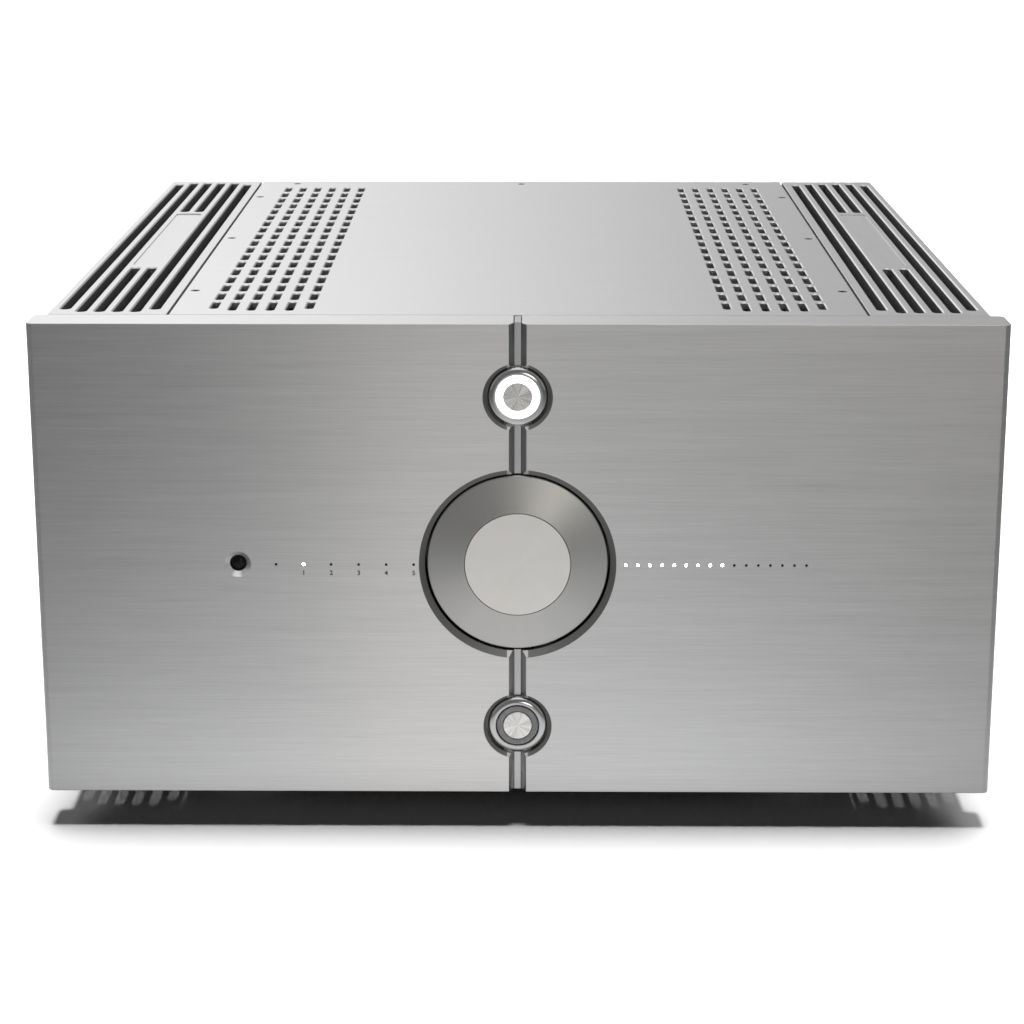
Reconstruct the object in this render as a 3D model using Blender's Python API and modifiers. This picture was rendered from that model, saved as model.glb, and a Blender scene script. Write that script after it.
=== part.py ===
"""An integrated stereo power amplifier, as the separate pieces that it is assembled from.

Metres, +Z up. The front panel faces -Y and the feet stand on Z = 0. Depths are measured backwards from
the front panel's face, and a turned piece's heights are measured outwards along its own axis.
"""

import math

import bmesh
import bpy
from mathutils import Matrix, Vector

# Driving dimensions
PANEL_WIDTH = 0.450
PANEL_HEIGHT = 0.229
PANEL_THICKNESS = 0.020
FOOT_HEIGHT = 0.018
BODY_WIDTH = 0.438
BODY_DEPTH = 0.420
TERMINAL_REACH = 0.024
CLEARANCE = 0.0003

FRONT_Y = -(BODY_DEPTH + TERMINAL_REACH) / 2
PANEL_BACK = PANEL_THICKNESS + CLEARANCE
REAR_PANEL_THICKNESS = 0.003
REAR_Y = FRONT_Y + BODY_DEPTH
BASE_Z = FOOT_HEIGHT
TOP_Z = FOOT_HEIGHT + PANEL_HEIGHT

# Front controls
CONTROL_Z = 0.132
BUTTON_SPACING = 0.0805
BUTTON_ROWS = {"upper": CONTROL_Z + BUTTON_SPACING, "lower": CONTROL_Z - BUTTON_SPACING}
BUTTON_BORE_RADIUS = 0.0112
KNOB_RADIUS = 0.04275
KNOB_POCKET_RADIUS = 0.0433
KNOB_POCKET_DEPTH = 0.0165
DISC_RADIUS = 0.02475
ENCODER_SHAFT_RADIUS = 0.003
GROOVE_HALF_WIDTH = 0.0041
PLATE_INNER_X = 0.0018
GROOVE_DEPTH = 0.0036
SPINE_HALF_WIDTH = 0.0015
FLANGE_HALF_WIDTH = 0.017
FLANGE_DEPTH = 0.0158
LAMP_POCKET_DEPTH = 0.005
LAMP_RADIUS = 0.0005
INPUT_LAMPS = {"first": -0.1129, "pitch": 0.01287, "count": 6}
LEVEL_LAMPS = {"first": 0.0506, "pitch": 0.005615, "count": 16}
RECEIVER_X = -0.1308

# Chassis
SINK_INNER_X = 0.1634
COVER_HALF_WIDTH = 0.1622
COVER_THICKNESS = 0.0016
FLOOR_THICKNESS = 0.0025
SINK_SLOT_WIDTH = 0.0057
SINK_SLOT_PITCH = 0.00845
SINK_FIRST_SLOT_X = 0.17065
SINK_SLOT_COUNT = 6
LONG_SLOT = (0.026, 0.4124)
SHORT_SLOT = (0.0315, 0.407)
PLAQUE = (0.135, 0.3044)
VENT_WIDTH = 0.0048
VENT_LENGTH = 0.016
VENT_ROW_PITCH = 0.0203
VENT_FIRST_ROW = 0.0335
VENT_ROWS = 18
VENT_FIRST_COLUMN_X = 0.0983
VENT_COLUMN_PITCH = 0.009
VENT_COLUMNS = 6
VENT_EXTRA_LENGTH = 0.004

# Rear connectors, as places on the rear panel
POST_PLACES = {
    "left_negative": (-0.092, 0.090),
    "left_positive": (-0.132, 0.090),
    "right_negative": (0.092, 0.090),
    "right_positive": (0.132, 0.090),
}
BALANCED_PLACES = {"left": (-0.112, 0.196), "right": (0.112, 0.196)}
PHONO_COLUMNS = {2: -0.054, 3: -0.018, 4: 0.018, 5: 0.054}
PHONO_Z = 0.190
PHONO_SPREAD = 0.014
INLET_Z = 0.072
SOCKET_OFFSET = -0.01575
ROCKER_OFFSET = 0.0155
ROCKER_TILT = math.radians(10)

FOOT_PLACES = {
    "front_left": (-0.135, 0.060),
    "front_right": (0.135, 0.060),
    "rear_left": (-0.135, 0.365),
    "rear_right": (0.135, 0.365),
}
TRANSFORMER_DEPTH = 0.135
CAPACITOR_DEPTHS = {"front": 0.270, "rear": 0.330}
CAPACITOR_X = {"left": -0.030, "right": 0.030}

FACING_FRONT = (math.pi / 2, 0, 0)
FACING_REAR = (-math.pi / 2, 0, 0)
UPRIGHT = (0, 0, 0)
SIDES = {"left": -1, "right": 1}


def clear_scene():
    for obj in list(bpy.data.objects):
        bpy.data.objects.remove(obj, do_unlink=True)


def new_collection(name):
    collection = bpy.data.collections.new(name)
    bpy.context.scene.collection.children.link(collection)
    return collection


clear_scene()
PARTS = new_collection("power_amplifier")
CUTTERS = new_collection("cutters")


def finish(name, colour, roughness, metallic):
    """A Principled material."""
    material = bpy.data.materials.new(name)
    material.use_nodes = True
    shader = material.node_tree.nodes["Principled BSDF"]
    shader.inputs["Base Color"].default_value = (*colour, 1)
    shader.inputs["Roughness"].default_value = roughness
    shader.inputs["Metallic"].default_value = metallic
    return material


BRUSHED = finish("brushed_aluminium", (0.60, 0.60, 0.59), 0.32, 1)
SINK = finish("sink_aluminium", (0.55, 0.55, 0.55), 0.38, 1)
TURNED = finish("turned_aluminium", (0.66, 0.66, 0.65), 0.25, 1)
CHROME = finish("bright_chrome", (0.75, 0.76, 0.77), 0.08, 1)
STEEL = finish("zinc_steel", (0.50, 0.50, 0.50), 0.40, 1)
GOLD = finish("gold_plate", (0.80, 0.58, 0.25), 0.25, 1)
BLACK_METAL = finish("black_paint", (0.03, 0.03, 0.03), 0.50, 0)
BLACK_PLASTIC = finish("black_plastic", (0.02, 0.02, 0.02), 0.45, 0)
DARK_LENS = finish("dark_lens", (0.01, 0.008, 0.01), 0.10, 0)
LIGHT_GUIDE = finish("light_guide", (0.90, 0.92, 0.95), 0.25, 0)
BOARD = finish("circuit_board", (0.03, 0.16, 0.07), 0.45, 0)
WINDING = finish("winding_tape", (0.55, 0.42, 0.12), 0.50, 0)
CAN = finish("capacitor_sleeve", (0.03, 0.05, 0.14), 0.35, 0)
RUBBER = finish("soft_rubber", (0.02, 0.02, 0.02), 0.85, 0)


def depth(*distances):
    """World Y of one or two distances behind the front panel's face."""
    places = tuple(FRONT_Y + distance for distance in distances)
    return places if len(places) > 1 else places[0]


def rear(*distances):
    """World Y of one or two distances outwards from the rear panel's face."""
    places = tuple(REAR_Y + distance for distance in distances)
    return places if len(places) > 1 else places[0]


def around(middle, half):
    return (middle - half, middle + half)


def mirrored(span, side):
    """The span itself on the right, or its mirror image on the left."""
    return span if side > 0 else (-span[1], -span[0])


def place(bm, name, material, location=(0, 0, 0), rotation=UPRIGHT):
    """Turns a bmesh into a part, or into a hidden cutter when it has no material."""
    mesh = bpy.data.meshes.new(name)
    bm.to_mesh(mesh)
    bm.free()
    obj = bpy.data.objects.new(name, mesh)
    obj.location = location
    obj.rotation_euler = rotation
    if material:
        mesh.materials.append(material)
        PARTS.objects.link(obj)
    else:
        CUTTERS.objects.link(obj)
        obj.hide_render = True
        obj.display_type = "WIRE"
    return obj


def add_block(bm, x, y, z, origin=Vector()):
    """Adds a box that fills the three spans, measured from an origin."""
    low, high = (Vector(corner) for corner in zip(x, y, z))
    scale = Matrix.Diagonal(high - low).to_4x4()
    bmesh.ops.create_cube(bm, size=1, matrix=Matrix.Translation((low + high) / 2 - origin) @ scale)


def block(name, x, y, z, material=None):
    """A box with its origin at its centre."""
    centre = Vector((sum(x), sum(y), sum(z))) / 2
    bm = bmesh.new()
    add_block(bm, x, y, z, centre)
    return place(bm, name, material, centre)


def blocks(name, spans, material=None):
    bm = bmesh.new()
    for x, y, z in spans:
        add_block(bm, x, y, z)
    return place(bm, name, material)


def turned(name, profile, location, rotation=UPRIGHT, segments=24, material=None, ring=False):
    """A profile of (radius, height) points, listed down its outer side, spun about its own axis."""
    bm = bmesh.new()
    points = [bm.verts.new((radius, 0, height)) for radius, height in profile]
    for start, end in zip(points, points[1:]):
        bm.edges.new((start, end))
    if ring:
        bm.edges.new((points[-1], points[0]))
    obj = place(bm, name, material, location, rotation)
    screw = obj.modifiers.new("spin", "SCREW")
    screw.steps = screw.render_steps = segments
    screw.use_merge_vertices = True
    screw.merge_threshold = 0.00001
    return obj


def prism(name, outline, span, location, rotation, material=None):
    """An outline in the object's own XY plane, extruded along its Z over the span."""
    bm = bmesh.new()
    face = bm.faces.new([bm.verts.new((x, y, span[0])) for x, y in outline])
    wall = bmesh.ops.extrude_face_region(bm, geom=[face])
    moved = [item for item in wall["geom"] if isinstance(item, bmesh.types.BMVert)]
    bmesh.ops.translate(bm, verts=moved, vec=(0, 0, span[1] - span[0]))
    bmesh.ops.recalc_face_normals(bm, faces=bm.faces)
    return place(bm, name, material, location, rotation)


def pegs(name, centres, radius, y, segments=8, material=None):
    """Cylinders along Y at several (x, z) places."""
    bm = bmesh.new()
    for x, z in centres:
        lie = Matrix.Translation((x, sum(y) / 2, z)) @ Matrix.Rotation(math.pi / 2, 4, "X")
        bmesh.ops.create_cone(
            bm,
            cap_ends=True,
            segments=segments,
            radius1=radius,
            radius2=radius,
            depth=y[1] - y[0],
            matrix=lie,
        )
    return place(bm, name, material)


def slot_cutter(name, slots, width, z, segments):
    """Upright round-ended cutters, one for each (x, y span): a cylinder whose two halves are drawn apart.

    The number of segments is a multiple of four, so that flats lie along both sides and across both ends.
    """
    bm = bmesh.new()
    radius = width / 2 / math.cos(math.pi / segments)
    for x, (start, end) in slots:
        stand = Matrix.Translation((x, (start + end) / 2, sum(z) / 2))
        made = bmesh.ops.create_cone(
            bm,
            cap_ends=True,
            segments=segments,
            radius1=radius,
            radius2=radius,
            depth=z[1] - z[0],
            matrix=stand @ Matrix.Rotation(math.pi / segments, 4, "Z"),
        )
        stretch = (end - start - width) / 2
        for vert in made["verts"]:
            vert.co.y += math.copysign(stretch, vert.co.y - (start + end) / 2)
    return place(bm, name, None)


def boolean(obj, other, operation="DIFFERENCE"):
    modifier = obj.modifiers.new(other.name, "BOOLEAN")
    modifier.operation = operation
    modifier.solver = "EXACT"
    modifier.object = other


def arc(centre, radius, start, end, steps):
    """Points on an arc between two angles in degrees."""
    angles = [math.radians(start + (end - start) * step / steps) for step in range(steps + 1)]
    return [(centre[0] + radius * math.cos(a), centre[1] + radius * math.sin(a)) for a in angles]


# Shared cutters for the front controls


def front_cutters():
    """The knob's pocket and the two push-button bores, cut alike in the plates and in the spine."""
    pocket = [
        (0, 0.002),
        (KNOB_POCKET_RADIUS + 0.0047, 0.002),
        (KNOB_POCKET_RADIUS, -0.0027),
        (KNOB_POCKET_RADIUS, -KNOB_POCKET_DEPTH),
        (0, -KNOB_POCKET_DEPTH),
    ]
    cutters = [turned("knob_pocket", pocket, (0, FRONT_Y, CONTROL_Z), FACING_FRONT, 64)]
    bore = [
        (0, 0.002),
        (0.0181, 0.002),
        (0.0146, -0.0015),
        (0.0146, -0.0038),
        (BUTTON_BORE_RADIUS, -0.0038),
        (BUTTON_BORE_RADIUS, -0.030),
        (0, -0.030),
    ]
    for row, z in BUTTON_ROWS.items():
        cutters.append(turned(f"button_bore_{row}", bore, (0, FRONT_Y, z), FACING_FRONT, 32))
    return cutters


def lamp_row(lamps):
    return [lamps["first"] + lamps["pitch"] * index for index in range(lamps["count"])]


def front_plate(side_name, cutters):
    """Half of the thick front panel. Its inner edge slopes into the centre groove."""
    side = SIDES[side_name]
    corner = 0.003
    half = PANEL_WIDTH / 2
    outline = [(PLATE_INNER_X, PANEL_THICKNESS), (PLATE_INNER_X, GROOVE_DEPTH), (GROOVE_HALF_WIDTH, 0)]
    outline += arc((half - corner, corner), corner, -90, 0, 3)
    outline += arc((half - corner, PANEL_THICKNESS - corner), corner, 0, 90, 3)
    outline = [(side * x, y) for x, y in outline]
    plate = prism(
        f"front_panel_{side_name}", outline, (0, PANEL_HEIGHT), (0, FRONT_Y, BASE_Z), UPRIGHT, BRUSHED
    )
    for cutter in cutters:
        boolean(plate, cutter)
    rebate_x = mirrored((0, FLANGE_HALF_WIDTH + CLEARANCE), side)
    rebate = block(
        f"spine_rebate_{side_name}",
        rebate_x,
        depth(FLANGE_DEPTH - CLEARANCE, 0.022),
        (BASE_Z + 0.004, TOP_Z - 0.004),
    )
    boolean(plate, rebate)
    pocket = block(
        f"lamp_pocket_{side_name}",
        mirrored((0.0455, 0.141), side),
        depth(LAMP_POCKET_DEPTH, 0.022),
        around(CONTROL_Z, 0.009),
    )
    boolean(plate, pocket)
    lamps = lamp_row(INPUT_LAMPS if side < 0 else LEVEL_LAMPS)
    holes = pegs(f"lamp_holes_{side_name}", [(x, CONTROL_Z) for x in lamps], 0.00062, depth(-0.002, 0.007))
    boolean(plate, holes)
    if side < 0:
        boolean(plate, receiver_hole())
    return plate


def receiver_hole():
    profile = [(0, 0.001), (0.0071, 0.001), (0.00395, -0.00215), (0.00395, -0.007), (0, -0.007)]
    return turned("receiver_hole", profile, (RECEIVER_X, FRONT_Y, CONTROL_Z), FACING_FRONT, 24)


def center_spine(cutters):
    """T-section bar behind the two plates. Its narrow web is the floor of the centre groove."""
    spine = block(
        "center_spine",
        around(0, FLANGE_HALF_WIDTH),
        depth(FLANGE_DEPTH, PANEL_THICKNESS - 0.0002),
        (BASE_Z + 0.0043, TOP_Z - 0.0043),
        BRUSHED,
    )
    web = block("spine_web", around(0, SPINE_HALF_WIDTH), depth(0.0042, 0.018), (BASE_Z, TOP_Z))
    boolean(spine, web, "UNION")
    for cutter in cutters:
        boolean(spine, cutter)
    boolean(spine, pegs("encoder_hole", [(0, CONTROL_Z)], 0.0053, depth(0.010, 0.024), 16))
    return spine


def sub_front_plate():
    plate = block(
        "sub_front_plate",
        around(0, COVER_HALF_WIDTH),
        depth(PANEL_BACK, PANEL_BACK + 0.004),
        (BASE_Z + FLOOR_THICKNESS + CLEARANCE, TOP_Z - COVER_THICKNESS - CLEARANCE),
        STEEL,
    )
    through = depth(0.018, 0.030)
    boolean(plate, pegs("switch_windows", [(0, z) for z in BUTTON_ROWS.values()], 0.018, through, 20))
    boolean(plate, pegs("encoder_window", [(0, CONTROL_Z)], 0.013, through, 16))


def volume_control():
    """The big turned knob, its inlaid disc, the shaft they ride on and the encoder that reads them."""
    axis = (0, FRONT_Y, CONTROL_Z)
    knob = [
        (0, -0.0043),
        (0.02495, -0.0043),
        (0.02495, -0.0001),
        (0.0423, -0.0031),
        (KNOB_RADIUS, -0.0036),
        (KNOB_RADIUS, -0.0158),
        (0.012, -0.0158),
        (0.012, -0.0108),
        (0.0031, -0.0108),
        (0.0031, -0.0063),
        (0, -0.0063),
    ]
    turned("volume_knob", knob, axis, FACING_FRONT, 48, TURNED)
    disc = [(0, 0), (DISC_RADIUS - 0.0002, 0), (DISC_RADIUS, -0.0002), (DISC_RADIUS, -0.004), (0, -0.004)]
    turned("volume_knob_disc", disc, axis, FACING_FRONT, 48, TURNED)
    shaft = [(0, -0.0066), (ENCODER_SHAFT_RADIUS, -0.0066), (ENCODER_SHAFT_RADIUS, -0.0297), (0, -0.0297)]
    turned("volume_shaft", shaft, axis, FACING_FRONT, 16, STEEL)
    encoder = [
        (0, -0.030),
        (0.0031, -0.030),
        (0.0031, -0.0128),
        (0.0049, -0.0128),
        (0.0049, -0.0146),
        (0.007, -0.0146),
        (0.007, -0.0165),
        (0.0049, -0.0165),
        (0.0049, -0.0201),
        (0.0095, -0.0201),
        (0.0095, -0.036),
        (0, -0.036),
    ]
    turned("volume_encoder", encoder, axis, FACING_FRONT, 16, STEEL)


def push_button(row, z):
    """A ring-lit push-button: bezel, light ring, turned cap on a stem, and the threaded switch behind."""
    axis = (0, FRONT_Y, z)
    bezel = [
        (0.00995, -0.0011),
        (0.0104, -0.0008),
        (0.0126, -0.0008),
        (0.014, -0.002),
        (0.014, -0.0035),
        (0.00995, -0.0035),
    ]
    turned(f"button_bezel_{row}", bezel, axis, FACING_FRONT, 24, CHROME, ring=True)
    glow = [(0.007, -0.0011), (0.00975, -0.0011), (0.00975, -0.0039), (0.007, -0.0039)]
    turned(f"button_light_ring_{row}", glow, axis, FACING_FRONT, 24, LIGHT_GUIDE, ring=True)
    cap = [(0, -0.0009), (0.0065, -0.0009), (0.0068, -0.0012), (0.0068, -0.0026)]
    cap += [(0.0036, -0.0026), (0.0036, -0.009), (0, -0.009)]
    turned(f"button_cap_{row}", cap, axis, FACING_FRONT, 24, TURNED)
    switch = [
        (0, -0.014),
        (0.0039, -0.014),
        (0.0039, -0.0042),
        (0.0109, -0.0042),
        (0.0109, -0.0201),
        (0.014, -0.0201),
        (0.014, -0.023),
        (0.0095, -0.023),
        (0.0095, -0.038),
        (0, -0.038),
    ]
    turned(f"button_switch_{row}", switch, axis, FACING_FRONT, 16, STEEL)


def lamps(name, row, ends):
    """A moulded light guide: a bar with one peg into each small hole, and the lamp board behind it."""
    guide = block(
        f"{name}_light_guide",
        ends,
        depth(LAMP_POCKET_DEPTH + CLEARANCE, 0.0083),
        around(CONTROL_Z, 0.0025),
        LIGHT_GUIDE,
    )
    places = [(x, CONTROL_Z) for x in lamp_row(row)]
    tips = pegs(f"{name}_tips", places, LAMP_RADIUS, depth(0.00015, 0.0066))
    boolean(guide, tips, "UNION")


def display():
    lamps("input", INPUT_LAMPS, (-0.1165, -0.0462))
    lamps("level", LEVEL_LAMPS, (0.0462, 0.139))
    receiver = [(0, -0.0032), (0.0038, -0.0032), (0.0038, -0.008), (0, -0.008)]
    turned("receiver_window", receiver, (RECEIVER_X, FRONT_Y, CONTROL_Z), FACING_FRONT, 20, DARK_LENS)
    for name, side in {"input": -1, "level": 1}.items():
        block(
            f"{name}_display_board",
            mirrored((0.0465, 0.140), side),
            depth(0.009, 0.0106),
            around(CONTROL_Z, 0.008),
            BOARD,
        )


def heat_sink(side_name):
    """Extruded side block with upright air slots. Two slots stop either side of the middle plaque."""
    side = SIDES[side_name]
    outer_x = BODY_WIDTH / 2
    sink = block(
        f"heat_sink_{side_name}",
        mirrored((SINK_INNER_X, outer_x), side),
        depth(PANEL_BACK, BODY_DEPTH - 0.0004),
        (BASE_Z, TOP_Z),
        SINK,
    )
    slots = []
    for index in range(SINK_SLOT_COUNT):
        x = side * (SINK_FIRST_SLOT_X + SINK_SLOT_PITCH * index)
        if index in (0, SINK_SLOT_COUNT - 1):
            spans = [SHORT_SLOT]
        elif index in (2, 3):
            spans = [(LONG_SLOT[0], PLAQUE[0]), (PLAQUE[1], LONG_SLOT[1])]
        else:
            spans = [LONG_SLOT]
        slots += [(x, depth(*span)) for span in spans]
    through = (BASE_Z - 0.005, TOP_Z + 0.005)
    boolean(sink, slot_cutter(f"air_slots_{side_name}", slots, SINK_SLOT_WIDTH, through, 12))


def vent_slots():
    """(x, y span) of each slot in the cover. The four middle columns start a little further forward."""
    slots = []
    for side in SIDES.values():
        for column in range(VENT_COLUMNS):
            x = side * (VENT_FIRST_COLUMN_X + VENT_COLUMN_PITCH * column)
            for row in range(VENT_ROWS):
                start = VENT_FIRST_ROW + VENT_ROW_PITCH * row
                end = start + VENT_LENGTH
                if row == 0 and 0 < column < VENT_COLUMNS - 1:
                    start -= VENT_EXTRA_LENGTH
                slots.append((x, depth(start, end)))
    return slots


def top_cover():
    cover = block(
        "top_cover",
        around(0, COVER_HALF_WIDTH),
        depth(PANEL_BACK, BODY_DEPTH - 0.0002),
        (TOP_Z - COVER_THICKNESS, TOP_Z),
        BRUSHED,
    )
    through = (TOP_Z - 0.006, TOP_Z + 0.004)
    holes = [(around(x, VENT_WIDTH / 2), span, through) for x, span in vent_slots()]
    boolean(cover, blocks("vent_holes", holes))


def cover_rail(side_name):
    """Square bar on the heat sink's inner face that takes the cover's screws."""
    block(
        f"cover_rail_{side_name}",
        mirrored((0.151, SINK_INNER_X - CLEARANCE), SIDES[side_name]),
        depth(0.030, 0.400),
        (TOP_Z - COVER_THICKNESS - CLEARANCE - 0.010, TOP_Z - COVER_THICKNESS - CLEARANCE),
        BLACK_METAL,
    )


def bottom_plate():
    plate = block(
        "bottom_plate",
        around(0, COVER_HALF_WIDTH),
        depth(PANEL_BACK, BODY_DEPTH - REAR_PANEL_THICKNESS - CLEARANCE),
        (BASE_Z, BASE_Z + FLOOR_THICKNESS),
        BLACK_METAL,
    )
    through = (BASE_Z - 0.003, BASE_Z + FLOOR_THICKNESS + 0.003)
    holes = []
    for side in SIDES.values():
        for column in range(3):
            x = around(side * (0.102 + 0.012 * column), 0.003)
            for row in range(4):
                start = 0.110 + 0.052 * row
                holes.append((x, depth(start, start + 0.040), through))
    boolean(plate, blocks("floor_holes", holes))


def foot(name, x, distance):
    profile = [
        (0, FOOT_HEIGHT - CLEARANCE),
        (0.021, FOOT_HEIGHT - CLEARANCE),
        (0.022, 0.0165),
        (0.022, 0.006),
        (0.0185, 0.003),
        (0.0185, 0),
        (0, 0),
    ]
    turned(f"foot_{name}", profile, (x, depth(distance), 0), UPRIGHT, 20, TURNED)


def rear_panel():
    """Folded sheet between the heat sinks, with a lip under the cover's rear edge."""
    top = TOP_Z - COVER_THICKNESS - CLEARANCE
    outline = [
        (rear(-REAR_PANEL_THICKNESS), BASE_Z),
        (rear(0), BASE_Z),
        (rear(0), top),
        (rear(-0.017), top),
        (rear(-0.017), top - 0.002),
        (rear(-REAR_PANEL_THICKNESS), top - 0.002),
    ]
    # Standing the outline up turns its own X into world Y and its own Y into world Z.
    panel = prism(
        "rear_panel",
        outline,
        around(0, COVER_HALF_WIDTH),
        (0, 0, 0),
        Matrix(((0, 0, 1), (1, 0, 0), (0, 1, 0))).to_euler(),
        BLACK_METAL,
    )
    through = rear(-0.008, 0.004)
    boolean(panel, pegs("post_holes", POST_PLACES.values(), 0.0066, through, 12))
    boolean(panel, pegs("balanced_holes", BALANCED_PLACES.values(), 0.0118, through, 20))
    phono = [(x, PHONO_Z + lift) for x in PHONO_COLUMNS.values() for lift in (-PHONO_SPREAD, PHONO_SPREAD)]
    boolean(panel, pegs("phono_holes", phono, 0.0055, through, 10))
    boolean(panel, block("inlet_cutout", around(0, 0.0154), through, around(INLET_Z, 0.0284)))


def speaker_post(name, x, z):
    """A threaded terminal through the rear panel, and the insulated nut that clamps a wire on it."""
    post = [
        (0, 0.0195),
        (0.0035, 0.0195),
        (0.0035, 0.0055),
        (0.0095, 0.0055),
        (0.0095, 0.0003),
        (0.006, 0.0003),
        (0.006, -0.0033),
        (0.009, -0.0033),
        (0.009, -0.008),
        (0.004, -0.008),
        (0.004, -0.016),
        (0, -0.016),
    ]
    turned(f"speaker_post_{name}", post, (x, REAR_Y, z), FACING_REAR, 12, GOLD)
    nut = [
        (0.0021, TERMINAL_REACH),
        (0.0083, TERMINAL_REACH),
        (0.009, TERMINAL_REACH - 0.0008),
        (0.009, 0.0066),
        (0.0083, 0.0058),
        (0.0037, 0.0058),
        (0.0037, 0.020),
        (0.0021, 0.020),
    ]
    turned(f"speaker_nut_{name}", nut, (x, REAR_Y, z), FACING_REAR, 12, GOLD, ring=True)


def balanced_socket(name, x, z):
    """Three-pole round socket on a square flange."""
    socket = block(
        f"balanced_input_{name}", around(x, 0.013), rear(CLEARANCE, 0.0023), around(z, 0.0155), BLACK_METAL
    )
    boolean(socket, pegs(f"balanced_opening_{name}", [(x, z)], 0.0104, rear(-0.004, 0.006), 20))
    barrel = [
        (0, 0.002),
        (0.008, 0.002),
        (0.008, -0.009),
        (0.0096, -0.009),
        (0.0096, 0.0032),
        (0.0112, 0.0032),
        (0.0112, -0.014),
        (0, -0.014),
    ]
    boolean(socket, turned(f"balanced_barrel_{name}", barrel, (x, REAR_Y, z), FACING_REAR, 20), "UNION")


def phono_pair(number, x):
    """Left and right phono sockets of one input, on a shared backing plate."""
    pair = block(
        f"phono_input_{number}", around(x, 0.009), rear(CLEARANCE, 0.0018), around(PHONO_Z, 0.025), GOLD
    )
    jack = [
        (0, 0.006),
        (0.0017, 0.006),
        (0.0017, 0.013),
        (0.00415, 0.013),
        (0.00415, 0.005),
        (0.0068, 0.005),
        (0.0068, 0.001),
        (0.005, 0.001),
        (0.005, -0.013),
        (0, -0.013),
    ]
    for end, lift in {"lower": -PHONO_SPREAD, "upper": PHONO_SPREAD}.items():
        place_on_panel = (x, REAR_Y, PHONO_Z + lift)
        boolean(pair, turned(f"phono_jack_{number}_{end}", jack, place_on_panel, FACING_REAR, 10), "UNION")


def mains_inlet():
    """Inlet module: a plug socket below, a fuse drawer in the middle and a rocker switch above."""
    inlet = block(
        "mains_inlet", around(0, 0.025), rear(CLEARANCE, 0.0033), around(INLET_Z, 0.032), BLACK_PLASTIC
    )
    body = block("inlet_body", around(0, 0.015), rear(-0.034, 0.002), around(INLET_Z, 0.028))
    boolean(inlet, body, "UNION")
    mouth = 0.006
    hollows = {
        "socket": (around(0, 0.0122), rear(-0.0137, mouth), around(INLET_Z + SOCKET_OFFSET, 0.00825)),
        "drawer": (around(0, 0.0125), rear(-0.0205, mouth), around(INLET_Z, 0.004)),
        "rocker": (around(0, 0.0103), rear(-0.0085, mouth), around(INLET_Z + ROCKER_OFFSET, 0.008)),
    }
    for name, spans in hollows.items():
        boolean(inlet, block(f"{name}_hollow", *spans))
    block(
        "fuse_drawer", around(0, 0.0122), rear(-0.020, 0.0043), around(INLET_Z, 0.0037), BLACK_PLASTIC
    )


def mains_rocker():
    """Rocker with a shallow V face, tipped to its on side at rest."""
    outline = [
        (0.0034, -0.0071),
        (0.0012, 0),
        (0.0034, 0.0071),
        (-0.002, 0.0071),
        (-0.006, 0.003),
        (-0.006, -0.003),
        (-0.002, -0.0071),
    ]
    stand_up = Matrix(((0, 0, 1), (1, 0, 0), (0, 1, 0))).to_4x4()
    tilt = Matrix.Rotation(-ROCKER_TILT, 4, "X")
    prism(
        "mains_rocker",
        outline,
        around(0, 0.010),
        (0, rear(0.001), INLET_Z + ROCKER_OFFSET),
        (tilt @ stand_up).to_euler(),
        BLACK_PLASTIC,
    )


def transformer():
    """Toroidal mains transformer on a rubber pad, held by a dished clamp and its bolt."""
    middle = (0, depth(TRANSFORMER_DEPTH), 0)
    pad = [(0.080, 0.0237), (0.080, 0.0208), (0.008, 0.0208), (0.008, 0.0237)]
    turned("transformer_pad", pad, middle, UPRIGHT, 20, RUBBER, ring=True)
    core = [
        (0.024, 0.104),
        (0.080, 0.104),
        (0.088, 0.096),
        (0.088, 0.032),
        (0.080, 0.024),
        (0.024, 0.024),
        (0.020, 0.028),
        (0.020, 0.100),
    ]
    turned("toroidal_transformer", core, middle, UPRIGHT, 24, WINDING, ring=True)
    clamp = [
        (0, 0.114),
        (0.008, 0.114),
        (0.008, 0.108),
        (0.045, 0.108),
        (0.045, 0.1043),
        (0.005, 0.1043),
        (0.005, 0.0208),
        (0, 0.0208),
    ]
    turned("transformer_clamp", clamp, middle, UPRIGHT, 16, STEEL)


def power_supply():
    block("power_supply_board", around(0, 0.062), depth(0.238, 0.362), (0.033, 0.0346), BOARD)
    can = [(0, 0.126), (0.023, 0.126), (0.025, 0.124), (0.025, 0.0349), (0, 0.0349)]
    for end, distance in CAPACITOR_DEPTHS.items():
        for side_name, x in CAPACITOR_X.items():
            turned(f"filter_capacitor_{end}_{side_name}", can, (x, depth(distance), 0), UPRIGHT, 16, CAN)


def amplifier_board(side_name):
    """Upright board along a heat sink, with its row of output transistors held against the sink."""
    side = SIDES[side_name]
    board = block(
        f"amplifier_board_{side_name}",
        mirrored((0.155, 0.1566), side),
        depth(0.060, 0.390),
        (0.045, 0.185),
        BOARD,
    )
    transistor_x = mirrored((0.156, SINK_INNER_X - CLEARANCE), side)
    transistors = []
    for index in range(6):
        start = 0.085 + 0.052 * index
        transistors.append((transistor_x, depth(start, start + 0.020), (0.095, 0.121)))
    boolean(board, blocks(f"transistors_{side_name}", transistors), "UNION")


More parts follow.
